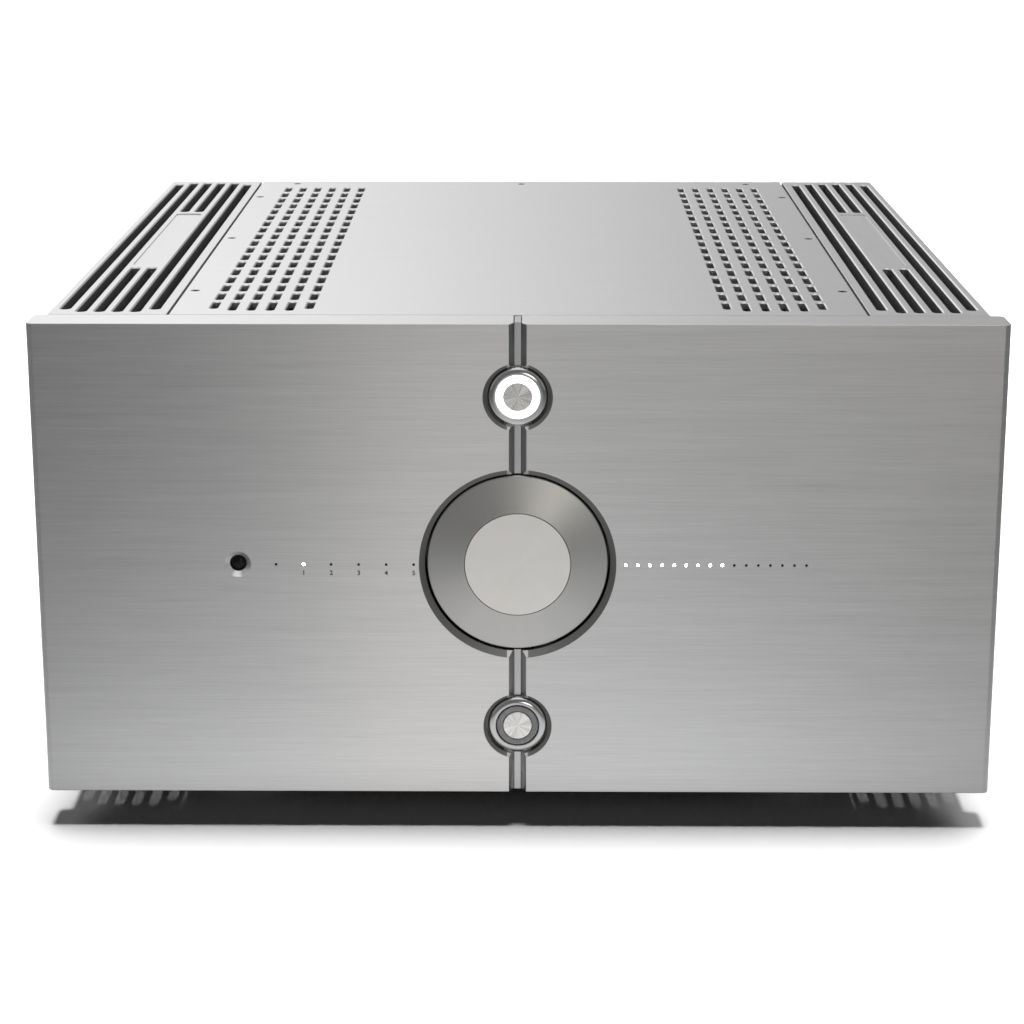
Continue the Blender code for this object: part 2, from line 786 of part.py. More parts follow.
def main():
    cutters = front_cutters()
    center_spine(cutters)
    sub_front_plate()
    volume_control()
    for row, z in BUTTON_ROWS.items():
        push_button(row, z)
    display()
    for side_name in SIDES:
        front_plate(side_name, cutters)
        heat_sink(side_name)
        cover_rail(side_name)
        amplifier_board(side_name)
    top_cover()
    bottom_plate()
    for name, (x, distance) in FOOT_PLACES.items():
        foot(name, x, distance)
    rear_panel()
    for name, (x, z) in POST_PLACES.items():
        speaker_post(name, x, z)
    for name, (x, z) in BALANCED_PLACES.items():
        balanced_socket(name, x, z)
    for number, x in PHONO_COLUMNS.items():
        phono_pair(number, x)
    mains_inlet()
    mains_rocker()
    transformer()
    power_supply()
    block("input_board", around(0, 0.130), depth(0.398, 0.3996), (0.160, 0.232), BOARD)


main()
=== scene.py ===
# %% [markdown]
# # A stereo amplifier in brushed and turned aluminium
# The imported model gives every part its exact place. This lesson builds the fine pieces that go
# over it, gives each surface a finish made of nodes, and stands the amplifier on a pale floor
# in soft light. We start by loading the frame, and we keep its box so that the finished look
# can be compared with it.

# %% Load the frame
import math

import bmesh
import bpy
from mathutils import Matrix, Vector


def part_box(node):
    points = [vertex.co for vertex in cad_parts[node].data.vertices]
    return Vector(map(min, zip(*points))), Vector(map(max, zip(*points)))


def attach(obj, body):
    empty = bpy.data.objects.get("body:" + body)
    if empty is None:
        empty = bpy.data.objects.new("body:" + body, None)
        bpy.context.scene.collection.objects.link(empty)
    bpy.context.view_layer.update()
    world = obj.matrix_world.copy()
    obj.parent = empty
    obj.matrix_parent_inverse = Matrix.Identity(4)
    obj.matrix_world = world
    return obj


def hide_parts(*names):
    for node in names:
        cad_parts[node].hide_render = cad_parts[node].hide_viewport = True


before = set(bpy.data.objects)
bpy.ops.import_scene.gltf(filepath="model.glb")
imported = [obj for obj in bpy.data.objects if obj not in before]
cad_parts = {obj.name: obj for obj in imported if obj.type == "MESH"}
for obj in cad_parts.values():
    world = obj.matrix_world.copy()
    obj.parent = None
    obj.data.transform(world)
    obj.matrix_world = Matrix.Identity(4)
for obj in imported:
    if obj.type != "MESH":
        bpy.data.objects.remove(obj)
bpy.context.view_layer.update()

# %% [markdown]
# ## Where things are
# Sizes are read from the frame wherever it holds them: the face of the front panel, the panel's
# height and the middle of each control. A few widths are cut into a part and can't be read from
# its box, so they are named here.

# %% Measures
MM = 0.001


def middle(node):
    low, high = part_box(node)
    return (low + high) / 2


plate_low, plate_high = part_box("front_panel_right")
FRONT_Y = plate_low.y
PLATE_THICKNESS = plate_high.y - plate_low.y
BASE_Z, TOP_Z = plate_low.z, plate_high.z
PLATE_INNER_X, PANEL_HALF_WIDTH = plate_low.x, plate_high.x
REAR_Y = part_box("rear_panel")[1].y
CONTROL_Z = middle("volume_knob").z
BUTTON_Z = {row: middle(f"button_bezel_{row}").z for row in ("upper", "lower")}
GROOVE_HALF_WIDTH = 4.1 * MM
GROOVE_DEPTH = 3.6 * MM
INPUT_PITCH, LEVEL_PITCH = 12.87 * MM, 5.615 * MM
INPUT_LAMPS = [-112.9 * MM + INPUT_PITCH * index for index in range(6)]
LEVEL_LAMPS = [50.6 * MM + LEVEL_PITCH * index for index in range(16)]
LIT_LEVELS = 9
LAMP_BORE = 0.62
RECEIVER = middle("receiver_window")
SIDES = {"left": -1, "right": 1}
print("panel", round(2000 * PANEL_HALF_WIDTH), "mm wide, face at", round(FRONT_Y, 4))


def back(distance):
    """World Y of a distance in millimetres behind the front panel's face."""
    return FRONT_Y + distance * MM


def outward(distance):
    """World Y of a distance in millimetres outwards from the rear panel's face."""
    return REAR_Y + distance * MM


# %% [markdown]
# ## Four shapes that everything comes from
# Most of this amplifier was made on a lathe or cut from bar and sheet, so four small helpers go
# a long way. A lathe part is a profile spun round its axis, and its sharp rims are broken with
# a bevel, as a machinist does with a file. A bar is a cube that is stretched and bevelled. An
# outline can be extruded into a bar of any section. A round-ended slot is a turned shape whose
# two halves are drawn apart.

# %% Shape helpers
FACE_FRONT = Matrix.Rotation(math.pi / 2, 4, "X")
FACE_REAR = Matrix.Rotation(-math.pi / 2, 4, "X")
UPRIGHT = Matrix.Identity(4)
SAME_PLACE = 1e-6
SQUARE_ENOUGH = 0.8


def bevel(shape, edges, width, segments=2):
    bmesh.ops.bevel(
        shape,
        geom=list(edges),
        offset=width,
        offset_type="OFFSET",
        affect="EDGES",
        segments=segments,
        profile=0.5,
        material=-1,
    )
    return shape


def stood(shape, place, turn=UPRIGHT):
    bmesh.ops.transform(shape, matrix=Matrix.Translation(place) @ turn, verts=shape.verts)
    return shape


def on_front(shape, x=0, z=CONTROL_Z):
    """Points a shape's Z axis out of the front panel's face."""
    return stood(shape, (x, FRONT_Y, z), FACE_FRONT)


def on_rear(shape, x, z, out=0):
    """Points a shape's Z axis out of the rear panel, out millimetres from its face."""
    return stood(shape, (x, outward(out), z), FACE_REAR)


def joined(shapes):
    """One shape that holds copies of them all."""
    whole = bmesh.new()
    for shape in shapes:
        mesh = bpy.data.meshes.new("copy")
        shape.to_mesh(mesh)
        shape.free()
        whole.from_mesh(mesh)
        bpy.data.meshes.remove(mesh)
    return whole


def turned(profile, steps, rims=(), closed=False):
    """Spins (radius, height) millimetres about Z. rims lists (corner number, bevel width) pairs."""
    shape = bmesh.new()
    profile = [(radius * MM, height * MM) for radius, height in profile]
    points = [shape.verts.new((radius, 0, height)) for radius, height in profile]
    edges = [shape.edges.new(pair) for pair in zip(points, points[1:])]
    if closed:
        edges.append(shape.edges.new((points[-1], points[0])))
    bmesh.ops.spin(
        shape,
        geom=points + edges,
        cent=(0, 0, 0),
        axis=(0, 0, 1),
        angle=math.tau,
        steps=steps,
        use_merge=True,
    )
    bmesh.ops.remove_doubles(shape, verts=shape.verts, dist=SAME_PLACE)
    bmesh.ops.recalc_face_normals(shape, faces=shape.faces)
    for corner, width in rims:
        radius, height = profile[corner]

        def on_rim(vert):
            away = abs(vert.co.xy.length - radius), abs(vert.co.z - height)
            return max(away) < SAME_PLACE

        rim = [edge for edge in shape.edges if all(on_rim(vert) for vert in edge.verts)]
        bevel(shape, rim, width * MM, 3)
    return shape


def sharp_edges(shape):
    return [edge for edge in shape.edges if edge.calc_face_angle() > SQUARE_ENOUGH]


def bar(x, y, z, edge=0.0, corner=0.0, along="Z"):
    """A box over three spans. Its four long edges along one axis can be rounded more than the rest."""
    low, high = (Vector(point) for point in zip(x, y, z))
    stretch = Matrix.Diagonal(high - low).to_4x4()
    shape = bmesh.new()
    bmesh.ops.create_cube(shape, size=1, matrix=Matrix.Translation((low + high) / 2) @ stretch)
    if corner:
        axis = "XYZ".index(along)
        runs = {item: (item.verts[0].co - item.verts[1].co)[axis] for item in shape.edges}
        bevel(shape, [item for item, run in runs.items() if abs(run) > SAME_PLACE], corner, 6)
    if edge:
        bevel(shape, sharp_edges(shape), edge)
    return shape


def block(node, edge):
    """A bar as large as a CAD node's box."""
    return bar(*zip(*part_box(node)), edge * MM)


def rear_bar(x, z, width, height, near, far, edge=0.0, corner=0.0):
    """A bar on the rear panel, centred on (x, z) in metres. All else is in millimetres."""
    across, up = width / 2 * MM, height / 2 * MM
    spans = (x - across, x + across), (outward(near), outward(far)), (z - up, z + up)
    return bar(*spans, edge * MM, corner * MM, "Y")


def extruded(outline, span):
    """A flat outline in XY, in metres, raised along Z over the span."""
    shape = bmesh.new()
    face = shape.faces.new([shape.verts.new((x, y, span[0])) for x, y in outline])
    wall = bmesh.ops.extrude_face_region(shape, geom=[face])
    raised = [item for item in wall["geom"] if isinstance(item, bmesh.types.BMVert)]
    bmesh.ops.translate(shape, verts=raised, vec=(0, 0, span[1] - span[0]))
    bmesh.ops.recalc_face_normals(shape, faces=shape.faces)
    return shape


def slot_cutter(x, y, top, bottom, width, chamfer, steps):
    """An upright round-ended cutter that flares by the chamfer where it leaves the top face."""
    radius = width / 2 / MM
    flare = chamfer / MM
    profile = [
        (0, top / MM + flare),
        (radius + 2 * flare, top / MM + flare),
        (radius, top / MM - flare),
        (radius, bottom / MM),
        (0, bottom / MM),
    ]
    shape = turned(profile, steps)
    bmesh.ops.rotate(shape, verts=shape.verts, matrix=Matrix.Rotation(math.pi / steps, 3, "Z"))
    reach = (y[1] - y[0] - width) / 2
    for vert in shape.verts:
        if abs(vert.co.y) > SAME_PLACE:
            vert.co.y += math.copysign(reach, vert.co.y)
    return stood(shape, (x, (y[0] + y[1]) / 2, 0))


# %% [markdown]
# ## From a shape to a piece
# A shape becomes an object, takes its finish, rides on the body that it moves with, and hides
# the CAD node that it stands in for. Holes are cut with Boolean modifiers, whose result is kept as
# the piece's own mesh. Curved faces are shaded smooth, and every edge sharper than 32 degrees
# stays crisp. Weighted normals keep a large flat face perfectly flat to the light although a
# bevel runs round it.

# %% Piece helper
SHARP_ANGLE = math.radians(32)
scene = bpy.context.scene


def new_object(name, shape):
    mesh = bpy.data.meshes.new(name)
    shape.to_mesh(mesh)
    shape.free()
    obj = bpy.data.objects.new(name, mesh)
    scene.collection.objects.link(obj)
    return obj


def evaluated(obj):
    return obj.evaluated_get(bpy.context.evaluated_depsgraph_get())


def combine(obj, shapes, operation):
    """Cuts shapes from the object, or adds them to it, and keeps the result."""
    tools = [new_object("tool", shape) for shape in shapes]
    for tool in tools:
        step = obj.modifiers.new(operation, "BOOLEAN")
        step.operation = operation
        step.solver = "EXACT"
        step.object = tool
    mesh = bpy.data.meshes.new_from_object(evaluated(obj))
    obj.modifiers.clear()
    obj.data = mesh
    for tool in tools:
        bpy.data.objects.remove(tool)


def dress(obj, finish):
    """One finish, smooth shading between crisp edges, and flat faces that stay flat."""
    mesh = obj.data
    mesh.name = obj.name
    mesh.materials.clear()
    mesh.materials.append(finish)
    for face in mesh.polygons:
        face.material_index = 0
        face.use_smooth = True
    mesh.set_sharp_from_angle(angle=SHARP_ANGLE)
    if not obj.modifiers:
        weighted = obj.modifiers.new("flat faces lead", "WEIGHTED_NORMAL")
        weighted.mode = "FACE_AREA"
        weighted.weight = 100
        weighted.keep_sharp = True


def piece(name, shape, finish, slot, body="chassis", stands_for=(), cuts=(), adds=(), steps=()):
    """Adds come before cuts. Where another order is needed, steps lists (operation, shapes) pairs."""
    obj = new_object(name, shape)
    for operation, shapes in steps or (("UNION", adds), ("DIFFERENCE", cuts)):
        if shapes:
            combine(obj, shapes, operation)
    dress(obj, finish)
    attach(obj, body)
    if stands_for:
        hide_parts(*stands_for)
    print(f"{name}: {len(obj.data.polygons)} faces")
    return obj


# %% [markdown]
# ## Writing a finish as sums
# A finish is a tree of nodes. To keep it readable, one class wraps an output socket: adding or
# multiplying two of them adds the Math node that does it, so a pattern can be written as an
# expression. Any other node comes from its one method `node`, which sets the node's settings
# first and then its sockets.

# %% The socket wrapper
class Wire:
    """An output of a shader node. Its sums and products are Math nodes in the same tree."""

    def __init__(self, tree, socket=None):
        self.tree = tree
        self.socket = socket

    def node(self, kind, settings=(), values=(), out=0):
        made = self.tree.nodes.new(kind)
        for name, value in dict(settings).items():
            setattr(made, name, value)
        for name, value in dict(values).items():
            if isinstance(value, Wire):
                self.tree.links.new(value.socket, made.inputs[name])
            else:
                made.inputs[name].default_value = value
        return Wire(self.tree, made.outputs[out]) if made.outputs else None

    def math(self, operation, *values):
        return self.node("ShaderNodeMath", {"operation": operation}, dict(enumerate(values)))

    def __add__(self, other):
        return self.math("ADD", self, other)

    def __radd__(self, other):
        return self.math("ADD", other, self)

    def __sub__(self, other):
        return self.math("SUBTRACT", self, other)

    def __rsub__(self, other):
        return self.math("SUBTRACT", other, self)

    def __mul__(self, other):
        return self.math("MULTIPLY", self, other)

    def __rmul__(self, other):
        return self.math("MULTIPLY", other, self)

    def __truediv__(self, other):
        return self.math("DIVIDE", self, other)

    def __gt__(self, other):
        return self.math("GREATER_THAN", self, other)

    def __lt__(self, other):
        return self.math("LESS_THAN", self, other)


# %% [markdown]
# ## The three marks that tools leave
# Belt-brushed metal has long fine scratches one way, a lathe leaves fine circles, and paint or
# moulded plastic has an even grain. Each is a noise: stretched along one axis, read from the
# distance to a turning axis, or left as it is. The height of these marks is a few micrometres,
# which is what spreads a highlight across the grain of real metal.

# %% Pattern helpers
def socket_name(word):
    return word.replace("_", " ").title().replace("Ior", "IOR")


def start_finish(name, colour, roughness, metallic=0.0, **even):
    """A Principled material and a Wire on its tree. Even values are set on their sockets."""
    material = bpy.data.materials.new(name)
    material.use_nodes = True
    shader = material.node_tree.nodes["Principled BSDF"]
    shader.inputs["Base Color"].default_value = (*colour, 1)
    shader.inputs["Roughness"].default_value = roughness
    shader.inputs["Metallic"].default_value = metallic
    for socket, value in even.items():
        shader.inputs[socket_name(socket)].default_value = value
    return material, Wire(material.node_tree)


def feed(material, **values):
    shader = material.node_tree.nodes["Principled BSDF"]
    for socket, wire in values.items():
        material.node_tree.links.new(wire.socket, shader.inputs[socket_name(socket)])
    return material


def object_point(wire):
    return wire.node("ShaderNodeTexCoord", out="Object")


def shifted(point, place=(0, 0, 0), stretch=(1, 1, 1)):
    """The point measured from a place, with each axis stretched."""
    offset = tuple(-distance * factor for distance, factor in zip(place, stretch))
    return point.node("ShaderNodeMapping", values={"Vector": point, "Location": offset, "Scale": stretch})


def noise(point, scale, detail=2.0):
    return point.node("ShaderNodeTexNoise", values={"Vector": point, "Scale": scale, "Detail": detail})


def shade(wire, first, second, factor):
    """A colour between two, by a Mix node."""
    colours = {6: first, 7: second, 0: factor}
    values = {k: (*v, 1) if isinstance(v, tuple) else v for k, v in colours.items()}
    return wire.node("ShaderNodeMix", {"data_type": "RGBA"}, values, out=2)


def bump(height, depth):
    """Height as a fraction of a depth in metres."""
    return height.node("ShaderNodeBump", values={"Height": height, "Distance": depth, "Strength": 1.0})


def split(point, axes="XYZ"):
    """The coordinates of a point along the axes named."""
    return [point.node("ShaderNodeSeparateXYZ", values={"Vector": point}, out=axis) for axis in axes]


def grey(value):
    return value.node("ShaderNodeCombineColor", values=dict.fromkeys(("Red", "Green", "Blue"), value))


def ramp(value, start, end, first=0.0, last=1.0):
    """Runs smoothly from first to last as the value goes from start to end."""
    limits = {"Value": value, "From Min": start, "From Max": end, "To Min": first, "To Max": last}
    return value.node("ShaderNodeMapRange", {"interpolation_type": "SMOOTHSTEP"}, limits)


def vector_math(operation, first, *others, out="Value"):
    values = dict(enumerate((first, *others)))
    return first.node("ShaderNodeVectorMath", {"operation": operation}, values, out)


def tinted(colour, factor):
    """A colour made darker or lighter by a factor."""
    return tuple(min(1, factor * part) for part in colour)


def from_axis(point, axis):
    """The point measured from a line along Y."""
    return shifted(point, axis, (1, 0, 1))


# %% [markdown]
# ## Brushed aluminium
# The front panel, the cover and the heat sinks are bare metal that was drawn under an abrasive
# belt. Two noises share the work: scratches half a millimetre wide and a few centimetres long,
# and broad faint bands where the belt pressed harder. They tint the metal, vary its roughness,
# and lift the surface by micrometres. On the front panel a constant anisotropy also pulls
# highlights upright, across the scratches.

# %% Brushed finishes
def brushed(name, colour, roughness, along, depth=1.6e-5, contrast=0.14, recess=None, **even):
    material, wire = start_finish(name, colour, roughness, 1.0, **even)
    point = object_point(wire)

    def streaks(lengthways, across, detail):
        stretch = [lengthways if axis == along else across for axis in "XYZ"]
        return noise(shifted(point, stretch=stretch), 1, detail)

    scratches, bands = streaks(34, 1700, 3), streaks(6, 260, 2)
    handling = noise(point, 14, 2)
    dark, light = tinted(colour, 1 - 2 * contrast), tinted(colour, 1 + contrast)
    tint = shade(wire, dark, light, scratches * 0.65 + bands * 0.35)
    spread = roughness - 0.07 + scratches * 0.08 + bands * 0.06 + handling * 0.04
    # The recess function paints shade: its mask darkens the colour towards a grey and makes the metal
    # rougher.
    if recess:
        painted_shade_mask, painted_shade_colour = recess(wire, point)
        tint = shade(wire, tint, painted_shade_colour, painted_shade_mask)
        spread = spread + painted_shade_mask * 0.12
    return feed(material, base_color=tint, roughness=spread, normal=bump(scratches + bands * 0.5, depth))


cover_metal = brushed("cover_metal", (0.83, 0.83, 0.83), 0.32, "X", contrast=0.06)
spine_metal = brushed("spine_metal", (0.62, 0.62, 0.63), 0.30, "Z")

# %% [markdown]
# The recesses of the front plates are milled after the brushing, so they are duller, and their
# colour is darkened as painted shade: the groove's walls, the knob's pocket and the bores of the
# buttons. They are all the faces in the middle that lie deeper than a few hundredths of a
# millimetre, so comparisons find them. The groove's own walls get less of the painted shade. The
# walls between the fins of the heat sinks are duller than the ground top, and their colour is
# darkened as painted shade too. They are found in the same way.

# %% Front panel and heat sink finishes
RECESS_REACH, GROOVE_REACH = 60 * MM, 5 * MM
# Greys of the painted shade in the front plates' recesses and between the heat sinks' fins.
RECESS_SHADE_GREY, SLOT_SHADE_GREY = (0.23, 0.23, 0.225), (0.40, 0.40, 0.40)


# Painted shade: the colour of the faces deep in the front plates' recesses turns to a dark grey.
def milled(wire, point):
    across, deep, up = split(point)
    side = wire.math("ABSOLUTE", across)
    inside = (deep > back(0.06)) * (up < TOP_Z - 0.4 * MM) * (up > BASE_Z + 0.4 * MM)
    return (side < RECESS_REACH) * inside * (1 - (side < GROOVE_REACH) * 0.7), RECESS_SHADE_GREY


# Painted shade: the colour of the walls between the heat sink's fins turns to a darker grey.
def slot_walls(wire, point):
    low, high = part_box("heat_sink_right")
    across, deep, up = split(point)
    side = wire.math("ABSOLUTE", across)
    inside = (side > low.x + 3 * MM) * (side < high.x - 1.5 * MM)
    inside = inside * (deep > low.y + 2 * MM) * (deep < high.y - 2 * MM)
    return inside * (up < high.z - 0.75 * MM), SLOT_SHADE_GREY


sink_metal = brushed("sink_metal", (0.84, 0.84, 0.84), 0.36, "Y", contrast=0.08, recess=slot_walls)
PLATE_TONES = {"left": (0.815, 0.82, 0.825), "right": (0.755, 0.76, 0.77)}
GRAIN = {"contrast": 0.11, "anisotropic": 0.55, "anisotropic_rotation": 0.25}
panel_metal = {
    side_name: brushed(f"panel_metal_{side_name}", tone, 0.30, "X", recess=milled, **GRAIN)
    for side_name, tone in PLATE_TONES.items()
}
print("brushed finishes:", 3 + len(panel_metal))

# %% [markdown]
# ## Turned metal
# The knob, its inlaid disc and the button caps come off a lathe. The noise is one-dimensional
# and reads only the distance from the axis, so every mark is a full circle. Light then spreads
# along the radius, which gives the opposite fans of brightness that turned metal is known by. A
# second noise read from the direction round the axis paints fans of light and shade into the
# colour: it darkens some sectors, most strongly on the button caps. The feet are turned too, but
# four places share one finish in the shadow, so a plain fine grain does for them.

# %% Turned finishes
def lathed(name, colour, roughness, axis, rings=2600, depth=3.2e-5, painted_fans=0.0, **even):
    material, wire = start_finish(name, colour, roughness, 1.0, **even)
    spoke = from_axis(object_point(wire), axis)
    radius = vector_math("LENGTH", spoke)

    def circles(rate, detail):
        values = {"W": radius * rate, "Scale": 1.0, "Detail": detail}
        return wire.node("ShaderNodeTexNoise", {"noise_dimensions": "1D"}, values)

    fine, slow = circles(rings, 2.0), circles(300, 1.0)
    tint = shade(wire, tinted(colour, 0.88), tinted(colour, 1.08), fine * 0.6 + slow * 0.4)
    # Painted highlight and shade: a noise read from the direction round the axis darkens sectors of the
    # colour in fans.
    if painted_fans:
        painted_fan_sector = ramp(noise(vector_math("NORMALIZE", spoke, out=0), 2.0, 2), 0.34, 0.66)
        tint = shade(wire, tint, tinted(colour, 1 - painted_fans), painted_fan_sector)
    return feed(
        material,
        base_color=tint,
        roughness=roughness - 0.05 + fine * 0.08 + slow * 0.05,
        normal=bump(fine, depth),
    )


knob_centre = (0, 0, CONTROL_Z)
knob_metal = lathed("knob_metal", (0.56, 0.56, 0.555), 0.30, knob_centre, depth=1.1e-5, painted_fans=0.05)
disc_metal = lathed("disc_metal", (0.99, 0.975, 0.95), 0.36, knob_centre, depth=1.2e-5, painted_fans=0.07)
cap_metal = {
    row: lathed(f"cap_metal_{row}", (0.96, 0.95, 0.93), 0.24, (0, 0, z), 3600, 3.0e-5, painted_fans=0.28)
    for row, z in BUTTON_Z.items()
}
foot_metal = brushed("foot_metal", (0.6, 0.6, 0.6), 0.3, "X")
print("turned finishes:", 2 + len(cap_metal))

# %% [markdown]
# ## Chrome, gold, steel
# Plated parts have hardly any grain. What makes them look real is a slow unevenness of the
# polish, with a few fine wipe marks, so both only touch the roughness and a bump of a
# micrometre or two.

# %% Plated finishes
def plated(name, colour, roughness, unevenness=0.10):
    material, wire = start_finish(name, colour, roughness, 1.0)
    point = object_point(wire)
    cloud = noise(point, 120, 3)
    wipe = noise(shifted(point, stretch=(60, 1900, 1500)), 1, 2)
    return feed(
        material,
        base_color=shade(wire, tinted(colour, 0.9), colour, cloud),
        roughness=roughness - unevenness / 2 + cloud * unevenness + wipe * 0.04,
        normal=bump(wipe, 2e-6),
    )


chrome = plated("bezel_chrome", (0.62, 0.63, 0.63), 0.10, 0.05)
gold = plated("connector_gold", (0.86, 0.62, 0.27), 0.22)
steel = plated("zinc_plate", (0.50, 0.51, 0.52), 0.38, 0.2)
screw_black = plated("blackened_screw", (0.05, 0.05, 0.052), 0.34)
print("plated finishes: 4")

# %% [markdown]
# ## Paint, plastic and rubber
# The chassis sheet is powder coated, which dries in a fine orange peel. Moulded plastic shows
# the spark-eroded grain of its mould. Rubber is nearly matte with a little dust. One helper
# serves all three: the grain size, its depth and the span of roughness set them apart.

# %% Coated and moulded finishes
def grained(name, colour, roughness, grain, depth, metallic=0.0, spread=0.12, **even):
    material, wire = start_finish(name, colour, roughness, metallic, **even)
    point = object_point(wire)
    bumps = noise(point, grain, 2)
    wear = noise(point, 30, 3)
    light = tuple(min(1, part * 1.25 + 0.004) for part in colour)
    return feed(
        material,
        base_color=shade(wire, colour, light, bumps * 0.5 + wear * 0.5),
        roughness=roughness - spread / 2 + wear * spread,
        normal=bump(bumps, depth),
    )


powder_coat = grained("powder_coat", (0.028, 0.028, 0.029), 0.46, 1500, 5e-5)
black_plastic = grained("moulded_black", (0.018, 0.018, 0.019), 0.38, 2600, 1.5e-5)
red_plastic = grained("moulded_red", (0.42, 0.012, 0.012), 0.30, 2600, 1e-5)
rubber = grained("foot_rubber", (0.022, 0.021, 0.020), 0.78, 1800, 4e-5)
sleeve = grained("capacitor_sleeve_film", (0.03, 0.05, 0.13), 0.30, 900, 1e-5, coat_weight=0.3)
print("grained finishes: 5")

# %% [markdown]
# ## Glass, light and print
# The receiver looks out through smoked plastic. The upper button's ring and the lit lamps are
# clear plastic with a white lamp behind: they give light of their own. On a light guide only
# some tips are lit, so the glow is switched on by a mask on the place along X, and the same
# mask darkens the tips that are off.

# %% Lamps, lens and print
lens, lens_wire = start_finish("smoked_lens", (0.006, 0.004, 0.006), 0.12, specular_ior_level=0.2)
lens_cloud = noise(object_point(lens_wire), 260, 2)
feed(lens, roughness=0.08 + lens_cloud * 0.08)

LAMP_WHITE = (0.93, 0.96, 1.0)
glow, glow_wire = start_finish("ring_glow", (0.95, 0.96, 0.98), 0.35, emission_strength=2.4)
glow_cloud = noise(object_point(glow_wire), 420, 2)
feed(glow, emission_color=shade(glow_wire, (0.86, 0.90, 0.96), (1.0, 1.0, 1.0), glow_cloud))

unlit, unlit_wire = start_finish("ring_unlit", (0.20, 0.20, 0.21), 0.18, coat_weight=0.5)
unlit_cloud = noise(object_point(unlit_wire), 300, 2)
feed(unlit, base_color=shade(unlit_wire, (0.16, 0.16, 0.17), (0.26, 0.26, 0.27), unlit_cloud))


def guide_finish(name, first, last):
    """A clear light guide whose tips glow between two places along X."""
    material, wire = start_finish(name, (0.02,) * 3, 0.5, emission_strength=40.0, specular_ior_level=0.1)
    point = object_point(wire)
    (across,) = split(point, "X")
    lit = (across > first) * (across < last)
    tint = shade(wire, (0.01,) * 3, (0.03,) * 3, noise(point, 900, 1))
    return feed(
        material,
        base_color=shade(wire, tint, (0.9, 0.92, 0.95), lit),
        emission_color=shade(wire, (0.0, 0.0, 0.0), LAMP_WHITE, lit),
    )


input_glow = guide_finish("input_glow", INPUT_LAMPS[1] - INPUT_PITCH / 2, INPUT_LAMPS[1] + INPUT_PITCH / 2)
level_glow = guide_finish("level_glow", 0, LEVEL_LAMPS[LIT_LEVELS - 1] + LEVEL_PITCH / 2)
black_ink = grained("printed_black", (0.02, 0.02, 0.02), 0.5, 4000, 1e-6)
white_ink = grained("printed_white", (0.72, 0.72, 0.72), 0.5, 4000, 1e-6)
print("lamps lit:", 1 + LIT_LEVELS)

# %% [markdown]
# ## Inside the case
# Through the vents one glimpses circuit boards, the transformer's wound tape and the
# capacitors. A board's solder mask is green with lighter copper tracks under it, which a brick
# pattern suggests. The tape is wound round the ring, so its overlaps run like spokes: the angle
# round the axis goes through a sine.

# %% Inside finishes
board, board_wire = start_finish("solder_mask", (0.02, 0.12, 0.05), 0.35, coat_weight=0.3)
board_point = object_point(board_wire)
bricks = {"Scale": 90.0, "Mortar Size": 0.03, "Color1": (0, 0, 0, 1), "Color2": (0.3, 0.3, 0.3, 1)}
tracks = board_wire.node("ShaderNodeTexBrick", {"offset": 0.5}, {"Vector": board_point, **bricks})
board_cloud = noise(board_point, 160, 2)
feed(
    board,
    base_color=shade(board_wire, (0.016, 0.10, 0.04), (0.05, 0.24, 0.10), tracks * 0.7 + board_cloud * 0.3),
    normal=bump(tracks, 3e-5),
)

tape, tape_wire = start_finish("winding_tape_wrap", (0.55, 0.42, 0.12), 0.42)
ring_middle = middle("toroidal_transformer")
tape_x, tape_y = split(shifted(object_point(tape_wire), ring_middle), "XY")
overlap = tape_wire.math("SINE", tape_wire.math("ARCTAN2", tape_y, tape_x) * 84) * 0.5 + 0.5
feed(
    tape,
    base_color=shade(tape_wire, (0.34, 0.25, 0.06), (0.62, 0.48, 0.16), overlap),
    roughness=0.3 + overlap * 0.2,
    normal=bump(overlap, 2e-4),
)
print("inside finishes: 2")

# %% [markdown]
# ## The front panel
# Two thick plates meet at a full-height groove. Each is an outline extruded upwards: its inner
# edge slopes into the groove, its outer edges are rounded, and its rim is broken by a third of
# a millimetre. Then the controls are cut out of both at once with turned cutters: the knob's
# pocket with its wide chamfer, the stepped bores of the buttons, the receiver's countersink and
# a row of lamp holes. Cutting is right here because that is how the real plate was made, and
# the edges come out where the cutters cross the groove.

# %% Front plates
KNOB_STEPS = 240
knob_pocket = [(0, 2), (47.2, 2), (46.4, 0.1), (45.9, -0.2), (43.4, -2.7), (43.4, -16.5), (0, -16.5)]
button_bore = [(0, 2), (17.2, 2), (16.4, 0.1), (15.8, -0.3), (14.6, -1.5), (14.6, -3.8), (11.2, -3.8)]
button_bore += [(11.2, -30), (0, -30)]
receiver_cut = [(0, 1), (7.1, 1), (6.2, -0.05), (3.95, -2.15), (3.95, -7), (0, -7)]
lamp_cut = [(0, 1), (LAMP_BORE + 0.3, 1), (LAMP_BORE, -0.15), (LAMP_BORE, -7), (0, -7)]


def front_openings():
    cutters = [on_front(turned(knob_pocket, KNOB_STEPS))]
    cutters += [on_front(turned(button_bore, 120), z=z) for z in BUTTON_Z.values()]
    cutters.append(on_front(turned(receiver_cut, 64), RECEIVER.x))
    cutters += [on_front(turned(lamp_cut, 16), x) for x in INPUT_LAMPS + LEVEL_LAMPS]
    return joined(cutters)


